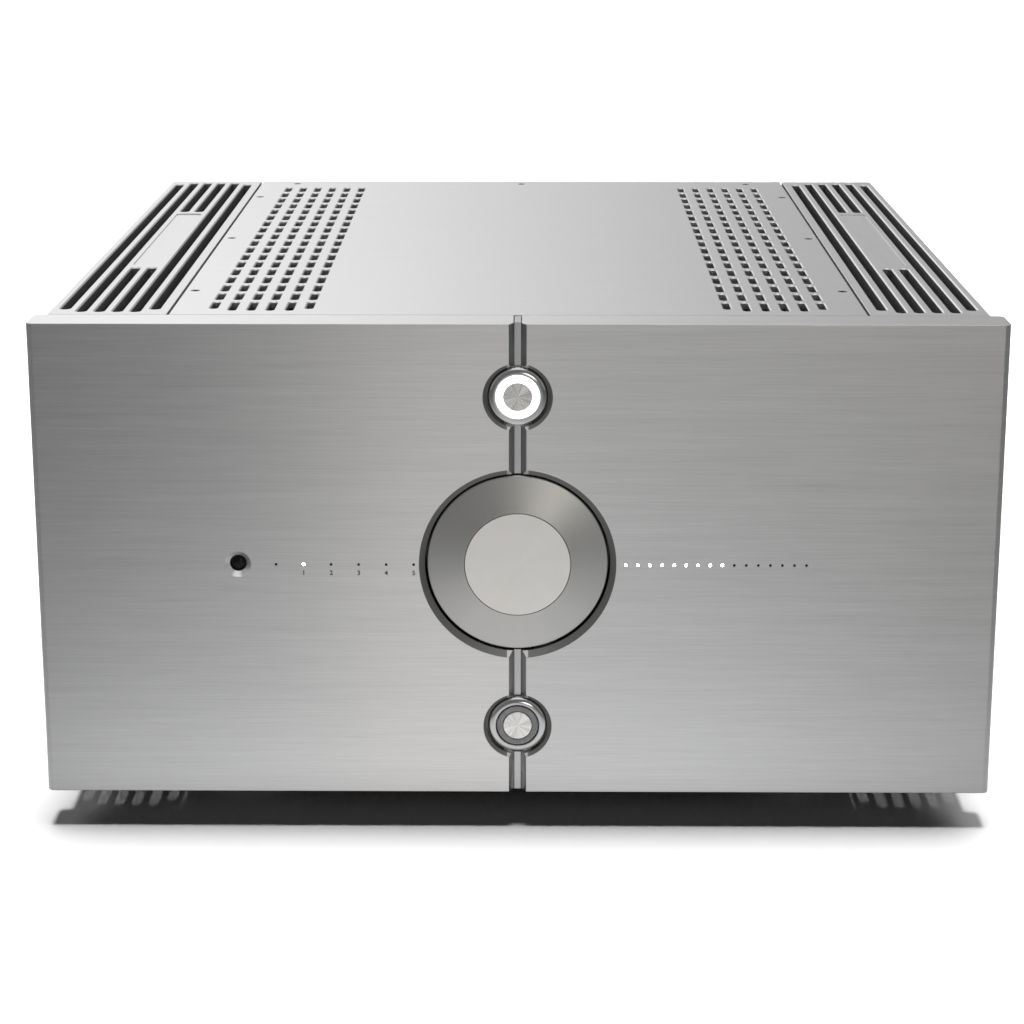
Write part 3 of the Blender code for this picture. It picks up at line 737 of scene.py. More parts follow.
def front_plate(side_name, side):
    outline = [
        (PLATE_INNER_X, FRONT_Y + PLATE_THICKNESS),
        (PLATE_INNER_X, FRONT_Y + GROOVE_DEPTH),
        (GROOVE_HALF_WIDTH, FRONT_Y),
        (PANEL_HALF_WIDTH, FRONT_Y),
        (PANEL_HALF_WIDTH, FRONT_Y + PLATE_THICKNESS),
    ]
    plate = extruded([(side * x, y) for x, y in outline], (BASE_Z, TOP_Z))

    def level(edge):
        return abs(edge.verts[0].co.z - edge.verts[1].co.z) < SAME_PLACE

    def outermost(edge):
        return all(abs(abs(vert.co.x) - PANEL_HALF_WIDTH) < SAME_PLACE for vert in edge.verts)

    bevel(plate, [edge for edge in plate.edges if outermost(edge) and not level(edge)], 3 * MM, 10)
    bevel(plate, [edge for edge in plate.edges if level(edge)], 0.35 * MM, 3)
    spread = sorted((0, side * 17.3 * MM))
    rebate = bar(spread, (back(15.5), back(22)), (BASE_Z + 4 * MM, TOP_Z - 4 * MM))
    lamp_span = sorted((side * 45.5 * MM, side * 141 * MM))
    lamp_room = bar(lamp_span, (back(5), back(22)), (CONTROL_Z - 9 * MM, CONTROL_Z + 9 * MM))
    obj = piece(
        f"front_plate_{side_name}",
        plate,
        panel_metal[side_name],
        "brushed_aluminium",
        stands_for=[f"front_panel_{side_name}"],
        cuts=[front_openings(), rebate, lamp_room],
    )
    obj.data.materials.append(cover_metal)
    for face in obj.data.polygons:
        if face.normal.z > 0.9:
            face.material_index = 1


for side_name, side in SIDES.items():
    front_plate(side_name, side)

# %% [markdown]
# ## The volume knob
# One big turned ring with a shallow coned face, and a flat disc pressed into it. The disc is
# its own piece: a hair-thin dark gap runs round it, and it was faced with a finer feed, so it
# looks lighter. Both are spun with many steps, because a polygon would show at once on a rim
# this size.

# %% Knob
knob_profile = [(0, -4.3), (24.95, -4.3), (24.95, -0.1), (42.1, -3.1), (42.5, -3.6), (42.5, -15.8)]
knob_profile += [(12, -15.8), (12, -10.8), (3.1, -10.8), (3.1, -6.3), (0, -6.3)]
knob = turned(knob_profile, KNOB_STEPS, rims=[(2, 0.2), (3, 0.3), (4, 0.3)])
piece("knob_ring", on_front(knob), knob_metal, "turned_aluminium", "volume", ["volume_knob"])
disc = turned([(0, 0), (24.7, 0), (24.7, -4), (0, -4)], KNOB_STEPS, rims=[(1, 0.2)])
piece("knob_disc", on_front(disc), disc_metal, "turned_aluminium", "volume", ["volume_knob_disc"])

# %% [markdown]
# ## The push-buttons
# A button is three things nested in its bore: a chromed bezel that swells toward its inner
# edge, a ring of clear plastic that carries the light, and a small turned cap that moves. Only
# the upper ring is lit.

# %% Buttons
BEZEL_STEPS, BEZEL_FOOT, BEZEL_SWELL = 8, -2.9, 2.1
CREST, OUTER_FALL, INNER_FALL = 10.6, 3.4, 0.65
quarter = [math.pi / 2 * step / BEZEL_STEPS for step in range(BEZEL_STEPS + 1)]
arc = [(math.cos(turn), math.sin(turn)) for turn in quarter]
bezel_profile = [(CREST + OUTER_FALL * near, BEZEL_FOOT + BEZEL_SWELL * up) for near, up in arc]
bezel_profile += [(CREST - INNER_FALL * up, BEZEL_FOOT + BEZEL_SWELL * near) for near, up in arc[1:]]
bezel_profile += [(CREST - INNER_FALL, -3.5), (CREST + OUTER_FALL, -3.5)]
ring_profile = [(7.0, -1.1), (9.75, -1.1), (9.75, -3.9), (7.0, -3.9)]
cap_profile = [(0, -0.9), (6.8, -0.9), (6.8, -2.6), (3.6, -2.6), (3.6, -9.0), (0, -9.0)]
ring_finish = {"upper": (glow, "lit_ring"), "lower": (unlit, "dark_ring")}
for row, z in BUTTON_Z.items():
    bezel = on_front(turned(bezel_profile, 96, closed=True), z=z)
    piece(f"bezel_{row}", bezel, chrome, "bright_chrome", stands_for=[f"button_bezel_{row}"])
    ring = on_front(turned(ring_profile, 96, rims=[(0, 0.35), (1, 0.35)], closed=True), z=z)
    piece(f"light_ring_{row}", ring, *ring_finish[row], stands_for=[f"button_light_ring_{row}"])
    cap = on_front(turned(cap_profile, 96, rims=[(1, 0.3)]), z=z)
    piece(f"cap_{row}", cap, cap_metal[row], "turned_aluminium", f"button_{row}", [f"button_cap_{row}"])

# %% [markdown]
# ## Lamps, receiver and numbers
# Each row of lamps is one moulding: a bar behind the panel with a peg through every small hole,
# so the tips line up by themselves. The pegs end in small domes that catch the light. The five
# selectable inputs are numbered under their lamps. Numbers are text turned to a mesh, a few
# hundredths of a millimetre thick, like printed ink.

# %% Lamps, receiver and numbers
tip_profile = [(0, -0.05), (0.25, -0.09), (0.43, -0.22), (0.5, -0.4), (0.5, -6.6), (0, -6.6)]


def light_guide(name, lamps, finish, node):
    low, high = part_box(node)
    body_bar = bar((low.x, high.x), (back(5.3), high.y), (low.z, high.z), 0.3 * MM)
    tips = joined([on_front(turned(tip_profile, 16), x) for x in lamps])
    piece(name, body_bar, finish, "light_guide", stands_for=[node], adds=[tips])


light_guide("input_tips", INPUT_LAMPS, input_glow, "input_light_guide")
light_guide("level_tips", LEVEL_LAMPS, level_glow, "level_light_guide")

dome = [(0, -2.3), (1.6, -2.5), (2.9, -2.9), (3.8, -3.6), (3.8, -8.0), (0, -8.0)]
receiver = on_front(turned(dome, 64), RECEIVER.x)
piece("receiver_lens", receiver, lens, "dark_lens", stands_for=["receiver_window"])


def numeral(text, height, place, turn):
    """A number as a thin raised shape whose middle is at the place."""
    curve = bpy.data.curves.new("numeral", "FONT")
    curve.body = text
    curve.size = height * 1.37
    curve.align_x = "CENTER"
    curve.align_y = "CENTER"
    curve.extrude = 0.015 * MM
    curve.offset = height * 0.03
    curve.resolution_u = 3
    writer = bpy.data.objects.new("numeral", curve)
    scene.collection.objects.link(writer)
    flat = bpy.data.meshes.new_from_object(evaluated(writer))
    bpy.data.objects.remove(writer)
    bpy.data.curves.remove(curve)
    shape = bmesh.new()
    shape.from_mesh(flat)
    bpy.data.meshes.remove(flat)
    bmesh.ops.remove_doubles(shape, verts=shape.verts, dist=SAME_PLACE)
    bmesh.ops.recalc_face_normals(shape, faces=shape.faces)
    return stood(shape, place, turn)


numerals = [
    numeral(str(number), 2.3 * MM, (x, back(-0.005), CONTROL_Z - 4.2 * MM), FACE_FRONT)
    for number, x in enumerate(INPUT_LAMPS[1:], 1)
]
piece("input_numbers", joined(numerals), black_ink, "black_paint")

# %% [markdown]
# ## The heat sinks
# Each side of the case is one thick extrusion with six slots right through it, so that air
# rises between the fins. The slots have round ends and lightly broken edges. Two of them stop
# on either side of a solid field in the middle, and that field gets a plain shallow recess.

# %% Heat sinks
SLOT_WIDTH, SLOT_CHAMFER = 4.7 * MM, 0.6 * MM
FIRST_SLOT, SLOT_PITCH = 170.65, 8.45
LONG_SLOT, SHORT_SLOT, FIELD = (26, 412.4), (31.5, 407), (135, 304.4)
slot_spans = [[SHORT_SLOT], [LONG_SLOT], [(LONG_SLOT[0], FIELD[0]), (FIELD[1], LONG_SLOT[1])]]
slot_spans += [slot_spans[2], [LONG_SLOT], [SHORT_SLOT]]


def heat_sink(side_name, side):
    low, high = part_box(f"heat_sink_{side_name}")
    slots = []
    for index, spans in enumerate(slot_spans):
        x = side * (FIRST_SLOT + SLOT_PITCH * index) * MM
        for start, end in spans:
            span = (back(start), back(end))
            slots.append(slot_cutter(x, span, high.z, low.z - 3 * MM, SLOT_WIDTH, SLOT_CHAMFER, 24))
    field_x = side * (FIRST_SLOT + SLOT_PITCH * 2.5) * MM
    field_span = (back(FIELD[0] + 6), back(FIELD[1] - 6))
    recess_span = (high.z - 0.5 * MM, high.z + MM)
    recess = bar((field_x - 7.2 * MM, field_x + 7.2 * MM), field_span, recess_span, corner=2.5 * MM)
    piece(
        f"sink_{side_name}",
        block(f"heat_sink_{side_name}", 0.5),
        sink_metal,
        "sink_aluminium",
        stands_for=[f"heat_sink_{side_name}"],
        cuts=[joined(slots + [recess])],
    )


for side_name, side in SIDES.items():
    heat_sink(side_name, side)

# %% [markdown]
# ## The vented cover
# A brushed sheet with two fields of punched slots and nine countersunk screws. Every slot is
# one small cutter, and all of them go through the sheet in a single cut. The cutters flare at
# the top, so each slot comes out with the bright little chamfer that makes a vent look cut and
# not drawn. A stiffening plate under each field makes the metal look as thick there as it does
# on the real cover.

# %% Cover
cover_low, cover_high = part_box("top_cover")
VENT_COLUMNS, VENT_ROWS = 6, 18
VENT_SECTION = (3.7 * MM, 0.55 * MM)
VENT_LENGTH, ROW_PITCH, FIRST_ROW, LONGER_START = 16, 20.3, 33.5, 4
VENT_X, COLUMN_PITCH = 98.3, 9
SCREW_PLACES = [(x * MM, back(distance)) for x in (-157.5, 157.5) for distance in (76, 219.5, 359)]
SCREW_PLACES += [(x * MM, back(410)) for x in (-140, 0, 140)]


def vents():
    cutters = []
    for side in SIDES.values():
        for column in range(VENT_COLUMNS):
            x = side * (VENT_X + COLUMN_PITCH * column) * MM
            for row in range(VENT_ROWS):
                start = FIRST_ROW + ROW_PITCH * row
                end = start + VENT_LENGTH
                if row == 0 and 0 < column < VENT_COLUMNS - 1:
                    start -= LONGER_START
                span = (back(start), back(end))
                cutters.append(slot_cutter(x, span, cover_high.z, TOP_Z - 4 * MM, *VENT_SECTION, 12))
    return cutters


countersink = [(0, 0.5), (2.9, 0.5), (1.5, -0.9), (1.5, -4), (0, -4)]
sinks = [stood(turned(countersink, 24), (*place, cover_high.z)) for place in SCREW_PLACES]
stiffeners = [
    bar(
        sorted((side * 91 * MM, side * 150.5 * MM)),
        (cover_low.y + 4 * MM, cover_high.y - 4 * MM),
        (cover_low.z - 1.8 * MM, cover_low.z + 0.4 * MM),
        0.3 * MM,
    )
    for side in SIDES.values()
]
piece(
    "vented_cover",
    block("top_cover", 0.25),
    cover_metal,
    "brushed_aluminium",
    stands_for=["top_cover"],
    adds=[joined(stiffeners)],
    cuts=[joined(vents()), joined(sinks)],
)

# %% [markdown]
# ## Screws
# A socket screw's head is a turned disc with a hexagonal hole. We bridge the head's round edge
# to a hexagon, then extrude the hexagon down and close its floor. One screw is made once and
# stood wherever it is needed.

# %% Screws
def socket_screw(radius, height, narrowing):
    """A screw head whose face is at Z = 0, with a hexagonal socket. It narrows downwards by the factor."""
    shape = bmesh.new()
    top = bmesh.ops.create_circle(shape, segments=24, radius=radius)["verts"]
    hexagon = bmesh.ops.create_circle(shape, segments=6, radius=radius * 0.5)["verts"]
    outer = list({edge for vert in top for edge in vert.link_edges})
    inner = list({edge for vert in hexagon for edge in vert.link_edges})
    bmesh.ops.bridge_loops(shape, edges=outer + inner)
    for ring, depth, factor in ((outer, height, narrowing), (inner, height * 0.6, 1.0)):
        wall = bmesh.ops.extrude_edge_only(shape, edges=ring)["geom"]
        verts = [item for item in wall if isinstance(item, bmesh.types.BMVert)]
        bmesh.ops.translate(shape, verts=verts, vec=(0, 0, -depth))
        bmesh.ops.scale(shape, verts=verts, vec=(factor, factor, 1))
        rim = [item for item in wall if isinstance(item, bmesh.types.BMEdge) and item.is_boundary]
        bmesh.ops.contextual_create(shape, geom=rim)
    bmesh.ops.recalc_face_normals(shape, faces=shape.faces)
    return shape


HEAD_Z = cover_high.z - 0.08 * MM
cover_screws = [
    stood(socket_screw(2.3 * MM, 0.9 * MM, 0.6), (*place, HEAD_Z)) for place in SCREW_PLACES
]
piece("cover_screws", joined(cover_screws), screw_black, "black_paint")
rear_low, rear_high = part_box("rear_panel")
rear_screws = [
    on_rear(socket_screw(3 * MM, 1.5 * MM, 1.0), x * MM, z, 1.5)
    for x in (-156, -75, 75, 156)
    for z in (rear_low.z + 8 * MM, rear_high.z - 8 * MM)
]
piece("rear_screws", joined(rear_screws), screw_black, "black_paint")

# %% [markdown]
# ## Loudspeaker terminals
# A gold-plated post passes through the panel in an insulating collar, and a nut with a moulded
# grip clamps the wire. The grip's flutes are every second face of its barrel, inset and pushed
# in. Red marks the positive side. The grip and its gold core turn together on their own body.

# %% Terminals
post_profile = [(0, 19.5), (3.5, 19.5), (3.5, 5.5), (9.5, 5.5), (9.5, 3.6), (6, 3.6), (6, -3.3), (9, -3.3)]
post_profile += [(9, -8), (4, -8), (4, -16), (0, -16)]
collar_profile = [(6.1, 3.5), (9.8, 3.5), (9.8, 0.3), (6.1, 0.3)]
grip_profile = [(4.6, 24), (8.4, 24), (9, 23.2), (9, 21), (9, 8.5), (9, 6.6), (8.3, 5.8), (4.6, 5.8)]
core_profile = [(2.1, 24), (4.5, 24), (4.5, 5.8), (3.7, 5.8), (3.7, 20), (2.1, 20)]
SIGNS = {"positive": red_plastic, "negative": black_plastic}
BARREL_MIDDLE, BARREL_INSIDE = 14.75 * MM, 8 * MM


def fluted(profile, steps):
    shape = turned(profile, steps, closed=True)
    barrel = []
    for face in shape.faces:
        spot = face.calc_center_median()
        if abs(spot.z - BARREL_MIDDLE) < MM and spot.xy.length > BARREL_INSIDE:
            barrel.append((math.atan2(spot.y, spot.x), face))
    barrel.sort(key=lambda item: item[0])
    flutes = [face for _, face in barrel[::2]]
    bmesh.ops.inset_individual(shape, faces=flutes, thickness=0.15 * MM, depth=-0.35 * MM)
    return shape


for sign, grip_finish in SIGNS.items():
    for side_name in SIDES:
        name = f"{side_name}_{sign}"
        nut = f"nut_{name}"
        centre = middle(f"speaker_post_{name}")

        def lathe_part(profile, **options):
            return on_rear(turned(profile, 48, **options), centre.x, centre.z)

        post = lathe_part(post_profile, rims=[(1, 0.4), (3, 0.4)])
        piece(f"post_{name}", post, gold, "gold_plate", stands_for=[f"speaker_post_{name}"])
        collar = lathe_part(collar_profile, rims=[(1, 0.5)], closed=True)
        piece(f"post_collar_{name}", collar, grip_finish, "black_plastic")
        grip = on_rear(fluted(grip_profile, 48), centre.x, centre.z)
        piece(f"nut_grip_{name}", grip, grip_finish, "gold_plate", nut, [f"speaker_{nut}"])
        nut_core = lathe_part(core_profile, rims=[(1, 0.2)], closed=True)
        piece(f"nut_core_{name}", nut_core, gold, "gold_plate", nut)

# %% [markdown]
# ## Balanced inputs
# A three-pole socket sits on a flange with rounded corners. The flange is a bar, the barrel is
# turned, and the three pin holes and the round opening are cut. Two screws hold it at opposite
# corners, and a small release tab stands above the opening.

# %% Balanced sockets
barrel_profile = [(0, 2), (8, 2), (8, -9), (9.6, -9), (9.6, 3.2), (11.2, 3.2), (11.2, -14), (0, -14)]
PIN_ANGLES, PIN_CIRCLE = (30, 150, 270), 4.3 * MM
for side_name in SIDES:
    node = f"balanced_input_{side_name}"
    x, _, z = middle(node)
    flange = rear_bar(x, z, 26, 31, 0.3, 2.3, 0.4, 2.5)
    opening = on_rear(turned([(0, 6), (10.4, 6), (10.4, -4), (0, -4)], 64), x, z)
    barrel = on_rear(turned(barrel_profile, 64, rims=[(1, 0.4), (5, 0.3)]), x, z)
    tab = rear_bar(x, z + 13 * MM, 6.4, 3.2, 2, 4, 0.5)
    pins = []
    for angle in PIN_ANGLES:
        spot = Matrix.Rotation(math.radians(angle), 3, "Y") @ Vector((PIN_CIRCLE, 0, 0))
        pins.append(on_rear(turned([(0, 4), (1.3, 4), (1.3, -5), (0, -5)], 20), x + spot.x, z + spot.z))
    piece(
        f"balanced_socket_{side_name}",
        flange,
        black_plastic,
        "black_paint",
        stands_for=[node],
        steps=[("DIFFERENCE", [opening]), ("UNION", [barrel, tab]), ("DIFFERENCE", [joined(pins)])],
    )
    flange_screws = [
        on_rear(socket_screw(1.7 * MM, 0.7 * MM, 1.0), x + across * MM, z + up * MM, 3)
        for across, up in ((-9.9, 12.4), (9.9, -12.4))
    ]
    piece(f"balanced_screws_{side_name}", joined(flange_screws), steel, "zinc_steel")

# %% [markdown]
# ## Phono inputs
# Each input is a pair of gold sockets on a shared plate: a hexagonal nut, a barrel, and a
# coloured insulating ring in its mouth, white above for one channel and red below for the
# other. The two colours come from one finish, split by height.

# %% Phono sockets
PHONO_SPREAD = 14 * MM
insulator_profile = [(1.2, 13.1), (3.1, 13.1), (3.1, 12.6), (1.9, 12.6), (1.9, 9), (1.2, 9)]
insulator, insulator_wire = start_finish("insulator_ring", (0.7, 0.7, 0.7), 0.32)
insulator_point = object_point(insulator_wire)
(insulator_height,) = split(insulator_point, "Z")
phono_z = middle("phono_input_2").z
insulator_cloud = noise(insulator_point, 500, 2)
two_colours = shade(insulator_wire, (0.5, 0.012, 0.012), (0.78, 0.78, 0.75), insulator_height > phono_z)
feed(insulator, base_color=two_colours, roughness=0.26 + insulator_cloud * 0.12)


def phono_jack(x, z):
    """Barrel and hexagonal nut, closed shapes that touch face to face."""
    barrel = turned([(1.9, 6), (1.9, 13), (4.15, 13), (4.15, -13), (0, -13), (0, 6)], 40, rims=[(2, 0.3)])
    nut = bmesh.new()
    size = {"radius1": 6.8 * MM, "radius2": 6.8 * MM, "depth": 3.2 * MM}
    bmesh.ops.create_cone(nut, cap_ends=True, segments=6, **size)
    bevel(nut, nut.edges, 0.3 * MM)
    return [on_rear(barrel, x, z), on_rear(nut, x, z, 3.3)]


for number in range(2, 6):
    node = f"phono_input_{number}"
    x, _, z = middle(node)
    plate = rear_bar(x, z, 18, 50, 0.3, 1.8, 0.3, 2)
    jacks, rings = [], []
    for lift in (-PHONO_SPREAD, PHONO_SPREAD):
        jacks += phono_jack(x, z + lift)
        rings.append(on_rear(turned(insulator_profile, 40, closed=True), x, z + lift))
    piece(f"phono_pair_{number}", plate, gold, "gold_plate", stands_for=[node], adds=jacks)
    piece(f"phono_rings_{number}", joined(rings), insulator, "gold_plate")

# %% [markdown]
# ## Mains inlet
# One black moulding holds the socket for the mains lead, a drawer for the fuse and a rocker
# switch. The openings are cut, and the socket's two lower corners are cropped as the standard
# asks, so that a plug goes in only one way. Three blades stand in it. The drawer and the rocker
# are pieces of their own, because they move.

# %% Inlet
inlet_low, inlet_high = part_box("mains_inlet")
inlet_height = (inlet_high.z - inlet_low.z) / MM
inlet_z = (inlet_low.z + inlet_high.z) / 2
socket_z = inlet_z - 15.75 * MM
rocker_z = inlet_z + 15.5 * MM
cropped = [(-12.2, 8.25), (12.2, 8.25), (12.2, -3.5), (7.6, -8.25), (-7.6, -8.25), (-12.2, -3.5)]
socket_hollow = extruded([(x * MM, z * MM) for x, z in cropped], (-13.7 * MM, 6 * MM))
stood(socket_hollow, (0, REAR_Y, socket_z), FACE_REAR @ Matrix.Rotation(math.pi, 4, "Z"))
drawer_hollow = rear_bar(0, inlet_z, 25, 8, -20.5, 6)
rocker_hollow = rear_bar(0, rocker_z, 20.6, 16, -8.5, 6)
piece(
    "inlet_moulding",
    rear_bar(0, inlet_z, 50, inlet_height, 0.3, 3.3, 0.6, 3),
    black_plastic,
    "black_plastic",
    stands_for=["mains_inlet"],
    adds=[rear_bar(0, inlet_z, 30, 56, -34, 2)],
    cuts=[joined([socket_hollow, drawer_hollow, rocker_hollow])],
)
blades = [
    rear_bar(x * MM, socket_z + z * MM, width, height, -13.9, -3, 0.3)
    for x, z, width, height in ((-7, -1, 4, 2), (0, 4, 2, 4), (7, -1, 4, 2))
]
piece("inlet_blades", joined(blades), steel, "zinc_steel")
inlet_screws = [on_rear(socket_screw(2.6 * MM, 1 * MM, 1.0), x * MM, inlet_z, 4.2) for x in (-20, 20)]
piece("inlet_screws", joined(inlet_screws), screw_black, "black_paint")

drawer = block("fuse_drawer", 0.4)
finger = rear_bar(0, inlet_z, 8, 2.8, 3.4, 6, 0.5)
piece("fuse_tray", drawer, black_plastic, "black_plastic", "fuse_drawer", ["fuse_drawer"], cuts=[finger])

# %% [markdown]
# ## Rocker switch
# The rocker's side view is an outline with a shallow V for its face. It is extruded across the
# switch, its edges are softened, and the whole is tipped about its pivot to the position that
# it rests in. A printed bar and ring mark on and off.

# %% Rocker
rocker_outline = [(3.4, -7.1), (1.2, 0), (3.4, 7.1), (-2, 7.1), (-6, 3), (-6, -3), (-2, -7.1)]
stand_up = Matrix(((0, 0, 1), (1, 0, 0), (0, 1, 0))).to_4x4()
pivot = (0, outward(1), rocker_z)
REST_TILT = math.radians(-10)
tilt = Matrix.Rotation(REST_TILT, 4, "X")
rocker = extruded([(y * MM, z * MM) for y, z in rocker_outline], (-10 * MM, 10 * MM))
bevel(rocker, sharp_edges(rocker), 0.4 * MM, 3)
stood(rocker, pivot, tilt @ stand_up)
piece("rocker_button", rocker, black_plastic, "black_plastic", "rocker", ["mains_rocker"])
FACE_SLOPE = math.atan2(2.2, 7.1)
on_mark = bar((-0.35 * MM, 0.35 * MM), (-1.6 * MM, 1.6 * MM), (-0.03 * MM, 0.03 * MM))
off_mark = turned([(1.2, 0.03), (1.75, 0.03), (1.75, -0.03), (1.2, -0.03)], 32, closed=True)
marks = []
for mark, up in ((on_mark, 1), (off_mark, -1)):
    on_face = Matrix.Translation((0, 2.45 * MM, up * 4 * MM)) @ Matrix.Rotation(-up * FACE_SLOPE, 4, "X")
    marks.append(stood(mark, pivot, tilt @ on_face @ FACE_REAR))
piece("rocker_marks", joined(marks), white_ink, "black_plastic", "rocker")

# %% [markdown]
# ## Rear numbers
# The numbers on the back tie each pair of sockets to its lamp on the front: the balanced pair
# is input 1, and the phono pairs are inputs 2 to 5.

# %% Rear numbers
TURN_ROUND = Matrix.Rotation(math.pi, 4, "Z")
labels = {f"phono_input_{number}": str(number) for number in range(2, 6)}
labels.update({f"balanced_input_{side_name}": "1" for side_name in SIDES})
LABEL_Z = phono_z - 32 * MM
rear_text = [
    numeral(text, 5 * MM, (middle(node).x, outward(0.01), LABEL_Z), TURN_ROUND @ FACE_FRONT)
    for node, text in labels.items()
]
piece("rear_numbers", joined(rear_text), white_ink, "black_paint")

# %% [markdown]
# ## Feet
# Four turned feet carry the weight. Each has a decorative groove and stands on a rubber pad
# that keeps it from sliding and from marking the shelf.

# %% Feet
foot_profile = [(0, 17.7), (21, 17.7), (22, 16.7), (22, 12.6), (21.3, 12.1), (21.3, 11.4), (22, 10.9)]
foot_profile += [(22, 6), (20, 3), (0, 3)]
pad_profile = [(0, 2.9), (18.5, 2.9), (18.5, 0.6), (17.9, 0), (0, 0)]
for end in ("front", "rear"):
    for side_name in SIDES:
        name = f"foot_{end}_{side_name}"
        centre = middle(name)
        place = (centre.x, centre.y, 0)
        foot = stood(turned(foot_profile, 72, rims=[(7, 0.4)]), place)
        piece(f"{name}_metal", foot, foot_metal, "turned_aluminium", stands_for=[name])
        piece(f"{name}_pad", stood(turned(pad_profile, 72), place), rubber, "soft_rubber")

# %% [markdown]
# ## Finishes for the parts that stay
# The parts with a plain shape keep their CAD mesh and only change their material: the spine
# behind the groove, the chassis sheets and rails, and everything inside the case.

# %% Dress the frame's own parts
ENDS = ("front", "rear")
KEPT = {
    "center_spine": spine_metal,
    "toroidal_transformer": tape,
    "transformer_pad": rubber,
    "bottom_plate": powder_coat,
    "rear_panel": powder_coat,
}
KEPT |= {f"cover_rail_{side_name}": powder_coat for side_name in SIDES}
KEPT |= dict.fromkeys(("sub_front_plate", "volume_shaft", "volume_encoder", "transformer_clamp"), steel)
KEPT |= {f"button_switch_{row}": steel for row in BUTTON_Z}
KEPT |= dict.fromkeys(("input_board", "power_supply_board"), board)
KEPT |= {f"{row}_display_board": board for row in ("input", "level")}
KEPT |= {f"amplifier_board_{side_name}": board for side_name in SIDES}
KEPT |= {f"filter_capacitor_{end}_{side_name}": sleeve for end in ENDS for side_name in SIDES}
for node, finish in KEPT.items():
    for material_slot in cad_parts[node].material_slots:
        material_slot.material = finish
print("kept parts dressed:", len(KEPT))

# %% [markdown]
# ## Floor and light
# Metal shows only what it mirrors, so the surroundings matter more than the lamps. The floor is
# plain and pale to the eye. To the metal it is a soft reflector: bright close to the case and
# fading with distance, with a warmer band running forward from the middle, and dark under the
# case. The front panel mirrors that floor, which gives it its soft gradient from a dark top to
# a bright foot.

# %% Floor
FLOOR_SIZE = 12.0
FLOOR_WHITE = 0.92
MIRRORED_EYE_Y = 0.82
floor_shape = bmesh.new()
bmesh.ops.create_grid(floor_shape, x_segments=1, y_segments=1, size=FLOOR_SIZE)
floor = new_object("floor", floor_shape)
floor_paint = bpy.data.materials.new("floor_paint")
floor_paint.use_nodes = True
floor_paint.node_tree.nodes.clear()
ground = Wire(floor_paint.node_tree)
ground_point = object_point(ground)
ground_x, ground_y = split(ground_point, "XY")


def bell(value, centre, width):
    """A smooth bell: 1 at the centre, 0.37 one width away."""
    offset = (value - centre) * (1 / width)
    return value.math("EXPONENT", offset * offset * -1)


reach = vector_math("LENGTH", ground_point)
near_case = ground.math("EXPONENT", (reach - 0.285) * -4.2)
lane = ground_x / (MIRRORED_EYE_Y - ground_y)
ahead = ground_y < -0.2
warm_lane = bell(lane, -0.035, 0.05) * ahead
pale_lane = bell(lane, 0.03, 0.15) * ahead
left_foot = bell(lane, -0.17, 0.09) * near_case * ahead
plain = 0.15 + near_case * 0.50 + pale_lane * 0.24 + left_foot * 0.16
reflector = shade(ground, grey(plain), (0.95, 0.915, 0.88), warm_lane * 0.50)
lit_floor = ground.node("ShaderNodeBsdfDiffuse", values={"Color": (FLOOR_WHITE,) * 3 + (1,)})
side_reach, depth_reach = (ground.math("ABSOLUTE", value) for value in (ground_x, ground_y))
beside = ramp(side_reach, PANEL_HALF_WIDTH, 0.27, 1.0, 0.0)
under_case = beside * ramp(depth_reach, -FRONT_Y, 0.275, 1.0, 0.0)
card = ground.node("ShaderNodeEmission", values={"Color": reflector, "Strength": 1 - under_case * 0.97})
to_metal = ground.node("ShaderNodeLightPath", out="Is Glossy Ray")
surface = ground.node("ShaderNodeMixShader", values={0: to_metal, 1: lit_floor, 2: card})
ground.node("ShaderNodeOutputMaterial", values={"Surface": surface})
floor.data.materials.append(floor_paint)

# %% [markdown]
# The surroundings are a world shader. It is white to the eye and grey to the metal: brighter
# behind on the left and duller behind on the right, which the cover mirrors, and dark straight
# ahead, so that the chrome has something dark to show. A warm soft window ahead on the right
# draws the highlight on the knob, and a softbox over the front lights the lower rims.

# %% Surroundings
world = bpy.data.worlds.new("studio")
scene.world = world
world.use_nodes = True
world.node_tree.nodes.clear()
sky = Wire(world.node_tree)
direction = sky.node("ShaderNodeTexCoord", out="Generated")
to_eye = sky.node("ShaderNodeLightPath", out="Is Camera Ray")
to_mirror = sky.node("ShaderNodeLightPath", out="Is Glossy Ray")
sideways, rearward, upward = split(direction)


def window(azimuth, elevation, half_angle, softness):
    """1 inside a round soft window, 0 outside. Azimuth 0 is straight ahead of the front panel."""
    turn, lift = math.radians(azimuth), math.radians(elevation)
    towards = (math.sin(turn) * math.cos(lift), -math.cos(turn) * math.cos(lift), math.sin(lift))
    rim, inside = (math.cos(math.radians(angle)) for angle in (half_angle + softness, half_angle))
    return ramp(vector_math("DOT_PRODUCT", direction, towards), rim, inside)


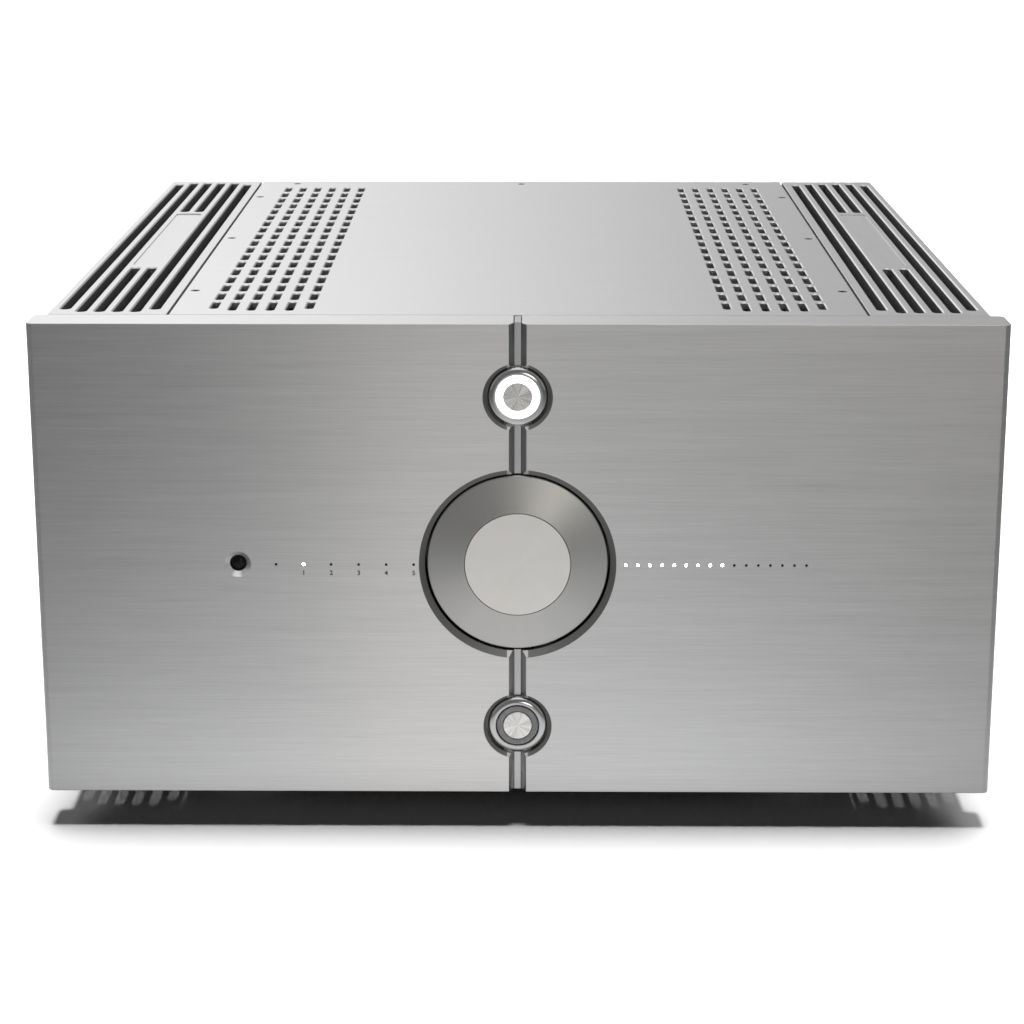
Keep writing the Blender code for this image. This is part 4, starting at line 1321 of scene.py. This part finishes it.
behind = ramp(rearward, 0.55, 0.85)
ahead_sky = ramp(rearward, -0.85, -0.35, 1.0, 0.0)
rear_sky = ramp(sideways, -0.18, 0.18, 1.14, 0.42) * ramp(upward, 0.13, 0.24, 0.66, 1.12)
SIDE_SKY = 0.46
surround = SIDE_SKY - ahead_sky * 0.27 + behind * (rear_sky - SIDE_SKY)
softbox = shade(sky, grey(surround), (1.05, 1.05, 1.05), window(0, 74, 20, 12))
warm_window = shade(sky, softbox, (2.9, 2.78, 2.5), window(12, 7, 4, 5))
for_metal = shade(sky, (0.03, 0.03, 0.03), warm_window, to_mirror)
for_eye = shade(sky, for_metal, (1.0, 1.0, 1.0), to_eye)
background = sky.node("ShaderNodeBackground", values={"Color": for_eye, "Strength": 1.0})
sky.node("ShaderNodeOutputWorld", values={"Surface": background})
print("surroundings:", len(world.node_tree.nodes), "nodes")

# %% [markdown]
# A wide overhead sun gives the short soft shadow that settles the amplifier on the floor. Lower
# soft lamps beside and behind the case show the shape of its black parts.

# %% Lamps
SUN_WIDTH, SUN_TILT = math.radians(18), math.radians(2.5)
LAMP_SIZE, AIM = 0.9, Vector((0, 0, 0.12))


def lamp(name, kind, power, place):
    light = bpy.data.lights.new(name, kind)
    light.energy = power
    stand = bpy.data.objects.new(name, light)
    scene.collection.objects.link(stand)
    stand.location = place
    stand.rotation_euler = (Vector(place) - AIM).to_track_quat("Z", "Y").to_euler()
    stand.visible_glossy = False
    return light, stand


sun, overhead = lamp("overhead", "SUN", 4.0, (0, 0, 2))
sun.angle = SUN_WIDTH
overhead.rotation_euler = (-SUN_TILT, 0, 0)
for name, power, place in (
    ("behind", 22, (0.5, 1.7, 0.9)),
    ("left", 4, (-1.5, 0.1, 1.4)),
    ("right", 4, (1.5, 0.1, 1.4)),
):
    soft, softbox_stand = lamp(name, "AREA", power, place)
    soft.size = LAMP_SIZE
    softbox_stand.visible_camera = False
print("lamps:", len(bpy.data.lights))

# %% [markdown]
# ## Camera
# The camera stands a little over a metre in front and looks down at the cover. A short upward
# shift of the lens keeps the upright edges of the panel nearly upright, as an architect's
# camera does.

# %% Camera
camera_data = bpy.data.cameras.new("camera")
camera_data.lens = 82.59
camera_data.sensor_width = 36
camera_data.shift_y = -0.13
camera = bpy.data.objects.new("camera", camera_data)
scene.collection.objects.link(camera)
camera.location = (0.0056, -1.2675, 0.4759)
camera.rotation_euler = (math.radians(90 - 13.68), 0, math.radians(0.45))
scene.camera = camera
scene.view_settings.view_transform = "Standard"
scene.view_settings.look = "None"
